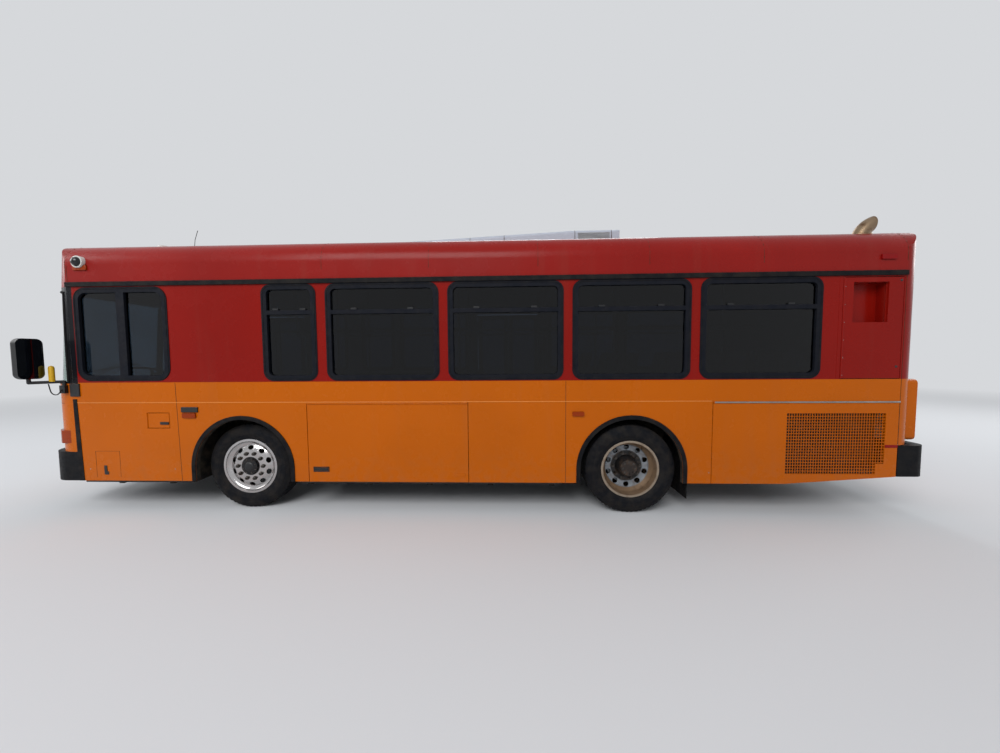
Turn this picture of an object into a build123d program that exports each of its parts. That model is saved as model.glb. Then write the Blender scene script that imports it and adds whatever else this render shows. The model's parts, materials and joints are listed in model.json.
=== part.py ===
from build123d import *
import os
from math import atan, cos, degrees, radians, sin

# City bus of the 9 m low-floor class, in millimetres.
# +X is forward, +Y is the driver's side (left), +Z is up. The origin lies on the ground,
# below the middle of the bus's length and width.
# Places along the bus are given as s, the distance behind the front axle.

# Driving sizes of the whole bus
wheelbase = 4135
front_overhang = 2270
rear_overhang = 2955
body_width = 2590
wall = 55
skirt_z = 336
waist_z = 1180
belt_z = 1411
seam_z = 2458
roof_edge_z = 2890
roof_top_z = 2925
coving_r = 240
touch = 0.3
door_gap = 6

front_axle_x = (wheelbase + rear_overhang - front_overhang) / 2
rear_axle_s = wheelbase
half_width = body_width / 2
inner_y = half_width - wall


def behind(s):
    """The x of a place that lies s behind the front axle."""
    return front_axle_x - s


def block(s, y, z):
    """A box between two places behind the front axle, two y and two z."""
    length = s[1] - s[0]
    width = y[1] - y[0]
    height = z[1] - z[0]
    middle = (behind((s[0] + s[1]) / 2), (y[0] + y[1]) / 2, (z[0] + z[1]) / 2)
    return Pos(*middle) * Box(length, width, height)


def side_plate(s, z, y, radius):
    """A plate with rounded corners that stands along the bus's side."""
    middle = (behind((s[0] + s[1]) / 2), y[0], (z[0] + z[1]) / 2)
    place = Plane(origin=middle, x_dir=(1, 0, 0), z_dir=(0, 1, 0))
    return extrude(place * RectangleRounded(s[1] - s[0], z[1] - z[0], radius), y[1] - y[0])


def cross_plate(s, y, z, radius):
    """A plate with rounded corners that stands across the bus."""
    middle = (behind(s[1]), (y[0] + y[1]) / 2, (z[0] + z[1]) / 2)
    place = Plane(origin=middle, x_dir=(0, 1, 0), z_dir=(1, 0, 0))
    return extrude(place * RectangleRounded(y[1] - y[0], z[1] - z[0], radius), s[1] - s[0])


def flat_plate(s, y, z, radius):
    """A plate with rounded corners that lies flat."""
    place = Pos(behind((s[0] + s[1]) / 2), (y[0] + y[1]) / 2, z[0])
    return extrude(place * RectangleRounded(s[1] - s[0], y[1] - y[0], radius), z[1] - z[0])


def rod(start, end, radius):
    """A round bar between two points given as (s, y, z)."""
    a = Vector(behind(start[0]), start[1], start[2])
    b = Vector(behind(end[0]), end[1], end[2])
    return extrude(Plane(origin=a, z_dir=b - a) * Circle(radius), (b - a).length)


def mirrored(shape):
    """The same shape on the other side of the bus."""
    return mirror(shape, about=Plane.XZ)


def both(shape):
    """A shape and its mirror image, as one list."""
    return [shape, mirrored(shape)]


def solids_of(shapes):
    """All solids of a list of shapes."""
    found = []
    for shape in shapes:
        found.extend(shape.solids())
    return found


def save(node, shapes):
    """Writes one node, made of one or more solids that don't overlap."""
    if not isinstance(shapes, (list, tuple)):
        shapes = [shapes]
    found = solids_of(shapes)
    whole = found[0] if len(found) == 1 else Compound(children=found)
    export_step(whole, f"parts/{node}.step")


# Body shell: roof and side walls have one cross-section, the two end caps are rounded
front_seam_s = -1845
rear_seam_s = rear_axle_s + 2655
front_corner_s = -2140
front_bow = 60
front_corner_r = 262
front_top_r = 170
screen_lean = 0.094
rear_face_s = rear_axle_s + 2825
rear_corner_r = 180
rear_top_r = 120
cap_low_z = 655
rear_cap_low_z = 740
deep = -400
far = 900


def section(inset):
    """The bus's cross-section, seen along X, drawn as a closed face."""
    sides = Polyline(
        (-half_width, roof_edge_z), (-half_width, deep),
        (half_width, deep), (half_width, roof_edge_z))
    crown = ThreePointArc((half_width, roof_edge_z), (0, roof_top_z), (-half_width, roof_edge_z))
    face = make_face(sides + crown)
    face = fillet(face.vertices().group_by(Axis.Y)[-1], coving_r)
    return offset(face, -inset) if inset else face


def tube(s, inset):
    """The cross-section drawn out between two places along the bus."""
    place = Plane(origin=(behind(s[1]), 0, 0), x_dir=(0, 1, 0), z_dir=(1, 0, 0))
    return extrude(place * section(inset), s[1] - s[0])


def front_plan(nose, corner):
    """The plan of the nose: straight sides, two round corners and a shallow bow."""
    tip = behind(front_corner_s) + nose
    back = tip - far
    sides = Polyline((tip, -half_width), (back, -half_width), (back, half_width), (tip, half_width))
    bow = ThreePointArc((tip, half_width), (tip + front_bow, 0), (tip, -half_width))
    face = make_face(sides + bow)
    return fillet(face.vertices().group_by(Axis.X)[-1], corner)


def front_block(inset):
    """The front end as one block, smaller by the inset all round."""
    plan = front_plan(0, front_corner_r)
    plan = offset(plan, -inset) if inset else plan
    upright = extrude(Pos(0, 0, deep) * plan, belt_z - deep)
    leaning = extrude(Pos(0, 0, belt_z) * plan, roof_top_z + wall - belt_z, dir=(-screen_lean, 0, 1))
    tip = behind(front_corner_s) + front_bow
    rise = roof_top_z - belt_z
    profile = make_face(Polyline(
        (tip - far, deep), (tip, deep), (tip, belt_z),
        (tip - rise * screen_lean, roof_top_z), (tip - far, roof_top_z),
        close=True))
    top_corner = profile.vertices().group_by(Axis.Y)[-1].sort_by(Axis.X)[-1]
    profile = fillet(top_corner, front_top_r)
    profile = offset(profile, -inset) if inset else profile
    side = Plane(origin=(0, half_width, 0), x_dir=(1, 0, 0), z_dir=(0, -1, 0))
    rounded = extrude(side * profile, body_width)
    length = front_seam_s - front_corner_s + front_bow
    return (upright + leaning) & rounded & tube((front_seam_s - length, front_seam_s), inset)


def rear_plan(back_s, half, corner):
    """The plan of the tail: straight sides and two round corners."""
    face = make_face(Polyline(
        (behind(back_s), -half), (behind(back_s) + far, -half),
        (behind(back_s) + far, half), (behind(back_s), half),
        close=True))
    return fillet(face.vertices().group_by(Axis.X)[0], corner)


def rear_block(inset):
    """The rear end as one block, smaller by the inset all round."""
    back_s = rear_face_s - inset
    top = roof_top_z - inset
    plan = rear_plan(back_s, half_width - inset, rear_corner_r - inset)
    upright = extrude(Pos(0, 0, deep) * plan, roof_top_z + wall - deep)
    profile = make_face(Polyline(
        (behind(back_s), deep), (behind(back_s) + far, deep),
        (behind(back_s) + far, top), (behind(back_s), top),
        close=True))
    top_corner = profile.vertices().group_by(Axis.Y)[-1].sort_by(Axis.X)[0]
    profile = fillet(top_corner, rear_top_r - inset)
    side = Plane(origin=(0, half_width, 0), x_dir=(1, 0, 0), z_dir=(0, -1, 0))
    rounded = extrude(side * profile, body_width)
    return tube((rear_seam_s, rear_face_s), inset) & rounded & upright


# Lids and doors in the sides: a leaf in a pocket, on a barrel along its hinge edge
leaf = 28
pocket = 35
barrel_r = 8
barrel_out = 2
hinge_y = half_width + barrel_out


def long_barrel(s, z, clearance):
    """A hinge barrel that runs along the bus at the left side's skin."""
    return rod((s[0], hinge_y, z), (s[1], hinge_y, z), barrel_r + clearance)


def upright_barrel(s, z, clearance):
    """A hinge barrel that stands upright at the left side's skin."""
    return rod((s, hinge_y, z[0]), (s, hinge_y, z[1]), barrel_r + clearance)


def inside_gap(span):
    """A leaf's two edges, set back from its opening's edges."""
    return (span[0] + door_gap, span[1] - door_gap)


# Side lids of the left side, each opening given by its s and z
battery_s = (718, 2442)
battery_z = (skirt_z, waist_z)
engine_side_s = (rear_axle_s + 811, rear_seam_s)
flap_s = (-1037, -788)
flap_z = (913, 1084)
upper_s = (rear_seam_s - 596, rear_seam_s - 20)
upper_z = (belt_z, 2424)
upper_recess_s = (upper_s[0] + 92, upper_s[1] - 147)
upper_recess_z = (1976, 2373)
upper_recess_deep = 22
kink_s = rear_axle_s + 1546
kink_z = 416


def skirt_rise():
    """What is cut off below the rising skirt behind the rear wheels."""
    end = rear_seam_s + door_gap
    profile = make_face(Polyline(
        (behind(kink_s), deep), (behind(kink_s), skirt_z),
        (behind(end), kink_z), (behind(end), deep), close=True))
    side = Plane(origin=(0, half_width + wall, 0), x_dir=(1, 0, 0), z_dir=(0, -1, 0))
    return extrude(side * profile, body_width + 2 * wall)


def battery_door():
    """Top-hinged door over the battery box, low in the left side."""
    s = inside_gap(battery_s)
    plate = block(s, (half_width - leaf, half_width), (battery_z[0], battery_z[1] - door_gap / 2))
    return plate + long_barrel(s, battery_z[1], 0)


# Grille of the radiator: two layers of thin bars that cross in front of each other
grille_s = (rear_seam_s - 1100, rear_seam_s - 130)
grille_z = (441, 1065)
grille_step_s = grille_s[1] - 81
grille_step_z = grille_z[0] + 107
grille_columns = 38
grille_rows = 21
grille_bar = 7
grille_layer = 4


def radiator_door():
    """Top-hinged side door of the engine bay, with the grille's opening in it."""
    s = inside_gap(engine_side_s)
    plate = block(s, (half_width - leaf, half_width), (skirt_z, waist_z - door_gap / 2))
    plate -= skirt_rise()
    opening = block(grille_s, (half_width - far, half_width + far), grille_z)
    step_z = (grille_z[0], grille_step_z)
    opening -= block((grille_step_s, grille_s[1]), (half_width - far, half_width + far), step_z)
    return plate - opening + long_barrel(s, waist_z, 0)


def grille_bars():
    """Rows in front and columns behind, which end in the door's opening."""
    bars = []
    outer = (half_width - grille_layer - touch, half_width - touch)
    inner = (outer[0] - grille_layer - touch, outer[0] - touch)
    row_pitch = (grille_z[1] - grille_z[0]) / grille_rows
    column_pitch = (grille_s[1] - grille_s[0]) / grille_columns
    for row in range(1, grille_rows):
        z = grille_z[0] + row * row_pitch
        last = grille_step_s if z < grille_step_z + grille_bar else grille_s[1]
        bar_z = (z - grille_bar / 2, z + grille_bar / 2)
        bars.append(block((grille_s[0] + touch, last - touch), outer, bar_z))
    for column in range(1, grille_columns):
        s = grille_s[0] + column * column_pitch
        low = grille_step_z if s > grille_step_s - grille_bar else grille_z[0]
        bar_s = (s - grille_bar / 2, s + grille_bar / 2)
        bars.append(block(bar_s, inner, (low + touch, grille_z[1] - touch)))
    return bars


def small_flap():
    """Small flap below the driver's window, hinged at its front edge."""
    s = inside_gap(flap_s)
    z = inside_gap(flap_z)
    plate = block((flap_s[0] + door_gap / 2, s[1]), (half_width - leaf, half_width), z)
    return plate + upright_barrel(flap_s[0], z, 0)


def upper_door():
    """Tall door behind the last window, hinged at its front edge, with a sunk pocket."""
    s = inside_gap(upper_s)
    z = inside_gap(upper_z)
    plate = block((upper_s[0] + door_gap / 2, s[1]), (half_width - leaf, half_width), z)
    plate -= block(upper_recess_s, (half_width - upper_recess_deep, half_width + far), upper_recess_z)
    return plate + upright_barrel(upper_s[0], z, 0)


# Windows: each has a rubber frame with a transom, and two panes
window_z = (1420, 2434)
window_border = 58
window_corner_r = 105
window_proud = 6
frame_deep = 40
transom_z = (2117, 2160)
pane = 6
driver_window_s = (-1775, -743)
driver_window_z = (1428, 2427)
driver_corner_r = 140
driver_divider_s = (-1300, -1210)
window_start_s = 276
window_end_s = rear_axle_s + 1857.5
window_gap = 90
small_window_gap = 97.5
small_share = 0.4912
large_count = 4
window_width = window_end_s - window_start_s - small_window_gap - (large_count - 1) * window_gap
window_width /= large_count + small_share
small_width = small_share * window_width
small_window_s = (window_start_s, window_start_s + small_width)
first_window_s = small_window_s[1] + small_window_gap
window_starts = [first_window_s + i * (window_width + window_gap) for i in range(large_count)]
large_windows = [(start, start + window_width) for start in window_starts]
left_windows = [small_window_s] + large_windows
front_small_window_s = (-555, -555 + small_width)
right_windows = [front_small_window_s, small_window_s, large_windows[0], large_windows[2], large_windows[3]]


def window_frame(s, z, radius, bar):
    """A frame set in the wall, with one bar across it."""
    y = (half_width - frame_deep, half_width + window_proud)
    outer = side_plate((s[0] + touch, s[1] - touch), (z[0] + touch, z[1] - touch), y, radius)
    clear_s = (s[0] + window_border, s[1] - window_border)
    clear_z = (z[0] + window_border, z[1] - window_border)
    inner = side_plate(clear_s, clear_z, (y[0] - 1, y[1] + 1), radius - window_border)
    return outer - (inner - bar)


def window_panes(s, z, radius, bar):
    """The panes of one window, on each side of its bar."""
    y = (half_width - frame_deep / 2 - pane, half_width - frame_deep / 2)
    clear_s = (s[0] + window_border + touch, s[1] - window_border - touch)
    clear_z = (z[0] + window_border + touch, z[1] - window_border - touch)
    sheet = side_plate(clear_s, clear_z, y, radius - window_border - touch)
    return sheet - bar


def transom(s):
    """The bar below a window's vent pane."""
    return block(s, (half_width - frame_deep, half_width + window_proud), transom_z)


def driver_divider():
    """The upright bar between the driver's two panes."""
    return block(driver_divider_s, (half_width - frame_deep, half_width + window_proud), driver_window_z)


def window_sets(windows):
    """Frames and panes of one side's windows, built on the left."""
    frames = []
    panes = []
    for s in windows:
        frames.append(window_frame(s, window_z, window_corner_r, transom(s)))
        panes.append(window_panes(s, window_z, window_corner_r, transom(s)))
    return frames, panes


# Wheel arches
arch_r = 525
arch_trim = 44
arch_z = 480
wheel_z = 470


def arch_shape(radius, s, y):
    """A wheel arch: half round above, straight down below."""
    middle = Plane(origin=(behind(s), y[0], arch_z), x_dir=(1, 0, 0), z_dir=(0, 1, 0))
    round_part = extrude(middle * Circle(radius), y[1] - y[0])
    return round_part + block((s - radius, s + radius), y, (deep, arch_z))


def arch_trims():
    """A rubber lip round each arch, proud of the skin."""
    lips = []
    for s in (0, rear_axle_s):
        y = (half_width + touch, half_width + touch + 10)
        ring = arch_shape(arch_r + arch_trim, s, y) - arch_shape(arch_r, s, y)
        lips.extend(both(ring & block((s - far, s + far), y, (skirt_z, roof_top_z))))
    return lips


# Passenger doors in the right side
front_door_s = (-1790, -730)
rear_door_wide = 1050
rear_door_mid_s = (large_windows[0][1] + min(large_windows[2][0], rear_axle_s - arch_r - arch_trim)) / 2
rear_door_s = (rear_door_mid_s - rear_door_wide / 2, rear_door_mid_s + rear_door_wide / 2)
floor_z = 385
sill_z = floor_z + 5
door_top_z = 2376
front_leaf_z = (412, 2364)
rear_leaf_z = (398, 2364)


def side_wall():
    """One side wall on the left, with arches cut and no windows yet."""
    plate = block((front_seam_s, rear_seam_s), (inner_y, half_width), (skirt_z, seam_z))
    plate -= skirt_rise()
    for s in (0, rear_axle_s):
        plate -= arch_shape(arch_r, s, (inner_y - 1, half_width + 1))
    return plate


def left_wall():
    """Left side wall with the driver's window, five windows and four lid pockets."""
    body = side_wall()
    through = (inner_y - 1, half_width + 1)
    body -= side_plate(driver_window_s, driver_window_z, through, driver_corner_r)
    for s in left_windows:
        body -= side_plate(s, window_z, through, window_corner_r)
    sunk = (half_width - pocket, half_width + 1)
    body -= block(battery_s, sunk, (deep, battery_z[1] + door_gap / 2))
    body -= long_barrel(battery_s, battery_z[1], touch)
    body -= block(flap_s, sunk, flap_z)
    body -= upright_barrel(flap_s[0], flap_z, touch)
    body -= block(upper_s, sunk, upper_z)
    body -= upright_barrel(upper_s[0], upper_z, touch)
    body -= block(engine_side_s, through, (deep, waist_z + door_gap / 2))
    body -= long_barrel(engine_side_s, waist_z, touch)
    return body


def right_wall():
    """Right side wall with five windows, built on the left and mirrored.

    The doorways part it into a post and two panels, and each has a header and a sill of its own.
    """
    body = side_wall()
    through = (inner_y - 1, half_width + 1)
    for s in right_windows:
        body -= side_plate(s, window_z, through, window_corner_r)
    for z in rear_barrel_z:
        body -= rear_door_barrel(z, touch)
        body -= other_jamb(rear_door_barrel(z, touch), rear_door_s)
    for s in (front_door_s, rear_door_s):
        body -= block(s, through, (sill_z, door_top_z))
    parts = []
    for s in ((front_seam_s, front_door_s[0]), (front_door_s[1], rear_door_s[0]), (rear_door_s[1], rear_seam_s)):
        parts.append(body & block(s, through, (deep, seam_z)))
    for s in (front_door_s, rear_door_s):
        parts.append(body & block(s, through, (door_top_z, seam_z)))
        parts.append(body & block(s, through, (deep, sill_z)))
    return [mirrored(part) for part in parts]


# Roof
hatch_s = ((180, 820), (rear_axle_s + 765, rear_axle_s + 1405))
hatch_y = 270
hatch_lip = 40
hatch_rim_z = 2945
hatch_lid_z = (2951, 2985)


def roof():
    """Roof with its covings, and two hatch openings with rims."""
    shell = tube((front_seam_s, rear_seam_s), 0) - tube((front_seam_s, rear_seam_s), wall)
    shell &= block((front_seam_s, rear_seam_s), (-half_width, half_width), (seam_z, roof_top_z))
    for s in hatch_s:
        shell += flat_plate(s, (-hatch_y, hatch_y), (roof_top_z - wall, hatch_rim_z), hatch_lip)
        opening_s = (s[0] + hatch_lip, s[1] - hatch_lip)
        opening_y = (hatch_lip - hatch_y, hatch_y - hatch_lip)
        shell -= flat_plate(opening_s, opening_y, (seam_z, hatch_rim_z + 1), hatch_lip / 2)
        shell += hatch_bearing(s)
    return shell


def hatch_bearing(s):
    """The strip in front of a hatch that its hinge barrel lies against."""
    strip_s = (s[0] - 3 * barrel_r, s[0] + 1)
    strip_z = (roof_top_z - wall, hatch_lid_z[0] - 1)
    strip = block(strip_s, (-hatch_y + hatch_lip, hatch_y - hatch_lip), strip_z)
    return strip - hatch_barrel(s, touch)


def hatch_barrel(s, clearance):
    """The hinge barrel along a hatch's front edge."""
    reach = hatch_y - 2 * hatch_lip
    axis_s = s[0] - barrel_r
    return rod((axis_s, -reach, hatch_lid_z[0]), (axis_s, reach, hatch_lid_z[0]), barrel_r + clearance)


def hatch_lid(s):
    """A shallow lid on one roof hatch, hinged at its front edge."""
    lid = flat_plate((s[0] - barrel_r, s[1] + 10), (-hatch_y - 10, hatch_y + 10), hatch_lid_z, hatch_lip)
    return lid + hatch_barrel(s, 0)


# Windscreen and destination sign window in the front cap
pillar_s = -1900
screen_z = (1420, 2380)
screen_divider = 46
sign_window_y = half_width - 435
sign_window_z = (2462, 2700)
glass_in = 18


def screen_band(z, y):
    """The space in front of the pillars between two heights and two y."""
    return block((front_corner_s - far, pillar_s), y, z)


def front_cap():
    """Front end with the windscreen's and the sign's openings."""
    cap = front_block(0) - front_block(wall)
    cap &= block((front_corner_s - far, front_seam_s), (-half_width, half_width), (cap_low_z, roof_top_z))
    band = screen_band(screen_z, (-half_width, half_width))
    band -= screen_band(screen_z, (-screen_divider / 2, screen_divider / 2))
    cap -= band
    cap -= screen_band(sign_window_z, (-sign_window_y, sign_window_y))
    return cap


def windscreen():
    """Two wrapped panes and the sign's pane, set in their openings."""
    sheet = front_block(glass_in) - front_block(glass_in + pane)
    left = sheet & screen_band(screen_z, (screen_divider / 2, half_width))
    sign = sheet & screen_band(sign_window_z, (-sign_window_y, sign_window_y))
    return both(left) + [sign]


# Rear end
bulge_s = rear_face_s + 100
bulge_y = half_width - 105
engine_door_y = half_width - 395
engine_door_z = (765, 1400)
rear_door_y = half_width - 395
rear_upper_z = (1505, 2440)
rear_barrel_s = rear_face_s + 20
engine_front_s = rear_face_s + door_gap
pan = 30


def cross_barrel(s, z, reach, clearance):
    """A hinge barrel that runs across the bus."""
    return rod((s, -reach, z), (s, reach, z), barrel_r + clearance)


def rear_cap():
    """Rear end with the openings of its two doors and two lamp housings."""
    cap = rear_block(0) - rear_block(wall)
    cap &= block((rear_seam_s, bulge_s), (-half_width, half_width), (rear_cap_low_z, roof_top_z))
    housing = cross_plate((rear_face_s - 1, bulge_s), (engine_door_y + door_gap, bulge_y), engine_door_z, 45)
    cap += housing
    cap += mirrored(housing)
    opening_y = (-engine_door_y - door_gap, engine_door_y + door_gap)
    cap -= block((rear_seam_s, rear_face_s + 1), opening_y, engine_door_z)
    strip_z = (engine_door_z[1] + touch, engine_door_z[1] + 40)
    strip_y = (-engine_door_y, engine_door_y)
    cap += block((rear_face_s - 1, rear_barrel_s - barrel_r + 3), strip_y, strip_z)
    cap -= cross_barrel(rear_barrel_s, engine_door_z[1] + 2, engine_door_y + 1, touch)
    cap -= block((rear_seam_s, rear_face_s + 1), (-rear_door_y, rear_door_y), rear_upper_z)
    cap -= cross_barrel(rear_face_s + barrel_out, rear_upper_z[1], rear_door_y, touch)
    return cap


def engine_door():
    """Top-hinged pan over the engine at the rear."""
    z = (engine_door_z[0] + door_gap, engine_door_z[1] - 4)
    outer = cross_plate((engine_front_s, bulge_s), (-engine_door_y, engine_door_y), z, 40)
    inner_span = (-engine_door_y + pan, engine_door_y - pan)
    outer -= block((engine_front_s - 1, bulge_s - pan), inner_span, (z[0] + pan, z[1] - pan))
    return outer + cross_barrel(rear_barrel_s, engine_door_z[1] + 2, engine_door_y - 40, 0)


louvre_rows = 12
louvre_y = rear_door_y - 260
louvre_z = (1960, 2360)
louvre_high = 14


def rear_upper_door():
    """Top-hinged door above the engine door, with louvre slots."""
    y = (-rear_door_y + door_gap, rear_door_y - door_gap)
    z = (rear_upper_z[0] + door_gap, rear_upper_z[1] - door_gap / 2)
    plate = block((rear_face_s - leaf, rear_face_s), y, z)
    pitch = (louvre_z[1] - louvre_z[0]) / louvre_rows
    for row in range(louvre_rows):
        low = louvre_z[0] + row * pitch
        slot_z = (low, low + louvre_high)
        plate -= block((rear_face_s - leaf - 1, rear_face_s + 1), (-louvre_y, louvre_y), slot_z)
    return plate + cross_barrel(rear_face_s + barrel_out, rear_upper_z[1], rear_door_y - door_gap, 0)


# Bumpers
bumper_thick = 90
bumper_nose = 70
bumper_corner_r = 240
rack_spread_y = 300
rack_spread_z = 120
rack_z = 500
rack_hole_r = 7
rack_seat = 2
rack_seat_y = 220
rack_seat_z = 100
plate_spread = 178
plate_z = 640
plate_hole_r = 3.5
rear_bumper_z = (kink_z, 735)
rear_bumper_corner_r = 110


def front_bumper():
    """Bumper that wraps round the nose, flush with the sides."""
    plan = front_plan(bumper_nose, bumper_corner_r)
    height = cap_low_z - touch - skirt_z
    beam = extrude(Pos(0, 0, skirt_z) * plan, height)
    beam -= extrude(Pos(0, 0, skirt_z - 1) * offset(plan, -bumper_thick), height + 2)
    beam &= block((front_corner_s - far, front_seam_s), (-half_width, half_width), (skirt_z, cap_low_z))
    for y in (-rack_spread_y / 2, rack_spread_y / 2):
        for z in (rack_z - rack_spread_z / 2, rack_z + rack_spread_z / 2):
            back = -front_overhang + bumper_thick + 20
            beam -= rod((-front_overhang - 1, y, z), (back, y, z), rack_hole_r)
    seat_s = (-front_overhang - far, -front_overhang + rack_seat)
    beam -= block(seat_s, (-rack_seat_y, rack_seat_y), (rack_z - rack_seat_z, rack_z + rack_seat_z))
    return beam


def rear_bumper():
    """Bumper that wraps round the tail, flush with the sides."""
    back_s = wheelbase + rear_overhang
    plan = rear_plan(back_s, half_width, rear_bumper_corner_r)
    hollow = rear_plan(back_s - bumper_thick, half_width - bumper_thick, rear_bumper_corner_r - 60)
    height = rear_bumper_z[1] - rear_bumper_z[0]
    beam = extrude(Pos(0, 0, rear_bumper_z[0]) * plan, height)
    beam -= extrude(Pos(0, 0, rear_bumper_z[0] - 1) * hollow, height + 2)
    beam &= block((rear_seam_s + touch, back_s), (-half_width, half_width), rear_bumper_z)
    for y in (-plate_spread / 2, plate_spread / 2):
        beam -= rod((back_s - 25, y, plate_z), (back_s + 1, y, plate_z), plate_hole_r)
    return beam


# Drip rails above the windows
rail_z = (2434 + touch, 2482)
rail_out = 18
rail_front_s = -1840


def drip_rails():
    """A rail along each side, where wall and roof meet."""
    y = (half_width + touch, half_width + rail_out)
    return both(block((rail_front_s, rear_seam_s), y, rail_z))


# Floor, rear platform and wheel boxes
floor_low_z = 300
box_half = 610
box_y = half_width - 835
box_top_z = 1060
box_skin = 12
platform_s = rear_axle_s - 745
platform_z = (760, 800)
bulkhead_s = rear_axle_s + 1925
cooler_box_s = grille_s[0] - 40
cooler_box_y = half_width - 265
cooler_box_z = 1120
bulkhead_thick = 25
floor_front_s = -1990
rear_box_y = half_width - 675
rear_box_low_z = 620
ramp_s = (front_door_s[0] + 130, front_door_s[1] - 100)
ramp_y = (inner_y - 760, inner_y - 90)
ramp_thick = 15


def low_floor():
    """Low floor from the windscreen to the step, open over the front wheels."""
    plate = block((front_seam_s, platform_s), (-inner_y + 1, inner_y - 1), (floor_low_z, floor_z))
    plate += block((floor_front_s, front_seam_s), (-inner_y + 45, inner_y - 45), (floor_low_z, floor_z))
    gap = block((-box_half, box_half), (box_y, inner_y + 1), (floor_low_z - 1, floor_z + 1))
    plate -= gap
    plate -= mirrored(gap)
    plate -= mirrored(block(ramp_s, ramp_y, (floor_z - ramp_thick, floor_z + 1)))
    riser_s = (platform_s, platform_s + bulkhead_thick)
    riser = block(riser_s, (-inner_y + 1, inner_y - 1), (floor_low_z, platform_z[1]))
    return plate + riser


def rear_platform():
    """Raised floor over the rear axle, and the bulkhead before the engine."""
    start = platform_s + bulkhead_thick
    deck = block((start, bulkhead_s), (-inner_y + 1, inner_y - 1), platform_z)
    gap_s = (rear_axle_s - box_half, rear_axle_s + box_half)
    gap = block(gap_s, (rear_box_y, inner_y + 1), (platform_z[0] - 1, platform_z[1] + 1))
    deck -= gap
    deck -= mirrored(gap)
    screen = tube((bulkhead_s, bulkhead_s + bulkhead_thick), wall + 1)
    screen_s = (bulkhead_s, bulkhead_s + bulkhead_thick)
    screen &= block(screen_s, (-half_width, half_width), (platform_z[0], roof_top_z))
    body = deck + screen
    body -= block((cooler_box_s, bulkhead_s + far), (cooler_box_y, inner_y + 1), (deep, cooler_box_z))
    cover_s = (cooler_box_s, bulkhead_s + bulkhead_thick)
    cover = block(cover_s, (cooler_box_y, inner_y - 1), (platform_z[0], cooler_box_z))
    clear_s = (cooler_box_s + box_skin, bulkhead_s + far)
    cover -= block(clear_s, (cooler_box_y + box_skin, inner_y + 1), (deep, cooler_box_z - box_skin))
    return body + cover


def wheel_box(s, y, low):
    """A box over one wheel, open below and towards the wall."""
    outer_s = (s - box_half + touch, s + box_half - touch)
    outer = block(outer_s, (y + touch, inner_y - touch), (low, box_top_z))
    clear_s = (s - box_half + box_skin, s + box_half - box_skin)
    return outer - block(clear_s, (y + box_skin, inner_y + 1), (deep, box_top_z - box_skin))


def wheel_boxes():
    """The four wheel boxes."""
    return both(wheel_box(0, box_y, floor_low_z)) + both(wheel_box(rear_axle_s, rear_box_y, rear_box_low_z))


# Underframe: low rails under the floor, high rails behind the step, and the engine's cradle
rail_y = half_width - 865
rail_wide = 80
low_rail_z = 215
high_rail_z = 660
tow_rail_s = -2080
tow_lug_s = -2170
tow_lug_y = (rail_y + 25, rail_y + 55)
tow_lug_z = (220, 295)
tow_eye_in = 40
tow_eye_z = 258
tow_eye_r = 20
cradle_y = rail_y + rail_wide + 10
cradle_z = (370, 420)
cradle_s = (rear_axle_s + 1065, rear_axle_s + 2755)
cross_wide = 60
cross_count = 5


def underframe():
    """Rails and cross members, joined where they meet."""
    parts = []
    rail_end_s = platform_s - 10
    for s in ((tow_rail_s, -420), (420, rail_end_s)):
        parts.extend(both(block(s, (rail_y, rail_y + rail_wide), (low_rail_z, floor_low_z - touch))))
    first_cross_s = box_half - 10
    cross_pitch = (rail_end_s - cross_wide - 20 - first_cross_s) / (cross_count - 1)
    for s in [-1600, -1000] + [first_cross_s + i * cross_pitch for i in range(cross_count)]:
        parts.append(block((s, s + cross_wide), (-rail_y, rail_y), (low_rail_z, floor_low_z - touch)))
        outrigger_z = (low_rail_z + 30, floor_low_z - touch)
        parts.extend(both(block((s, s + cross_wide), (rail_y + rail_wide, inner_y - 120), outrigger_z)))
    for lug in both(block((tow_lug_s, tow_rail_s + 1), tow_lug_y, tow_lug_z)):
        parts.append(lug)
    low = parts[0].fuse(*parts[1:])
    eye_s = tow_lug_s + tow_eye_in
    hole = rod((eye_s, tow_lug_y[0] - 1, tow_eye_z), (eye_s, tow_lug_y[1] + 1, tow_eye_z), tow_eye_r)
    for eye in both(hole):
        low -= eye
    high_rail_s = (platform_s + bulkhead_thick, cradle_s[1])
    parts = both(block(high_rail_s, (rail_y, rail_y + rail_wide), (high_rail_z, platform_z[0] - touch)))
    for s in (rear_axle_s - 535, rear_axle_s + 465, cradle_s[0]):
        parts.append(block((s, s + cross_wide), (-rail_y, rail_y), (high_rail_z, platform_z[0] - touch)))
    for s in (cradle_s[0], cradle_s[1] - cross_wide):
        parts.extend(both(block((s, s + cross_wide), (rail_y, cradle_y), (cradle_z[0], high_rail_z))))
        parts.append(block((s, s + cross_wide), (-cradle_y, cradle_y), cradle_z))
    parts.extend(both(block(cradle_s, (rail_y, cradle_y), cradle_z)))
    high = parts[0].fuse(*parts[1:])
    return [low, high]


def engine_block():
    """The engine and its gearbox as one plain block on the cradle."""
    base = cradle_z[1] + touch
    front_s = bulkhead_s + bulkhead_thick + 25
    motor = block((front_s, cradle_s[1] - 30), (-rail_y + 10, rail_y - 10), (base, 1280))
    gearbox = block((cradle_s[0] + 120, front_s), (-rail_y + 130, rail_y - 130), (base, platform_z[0] - 20))
    return motor + gearbox


cooler_tank = 60
cooler_z = (460, 1090)


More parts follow.
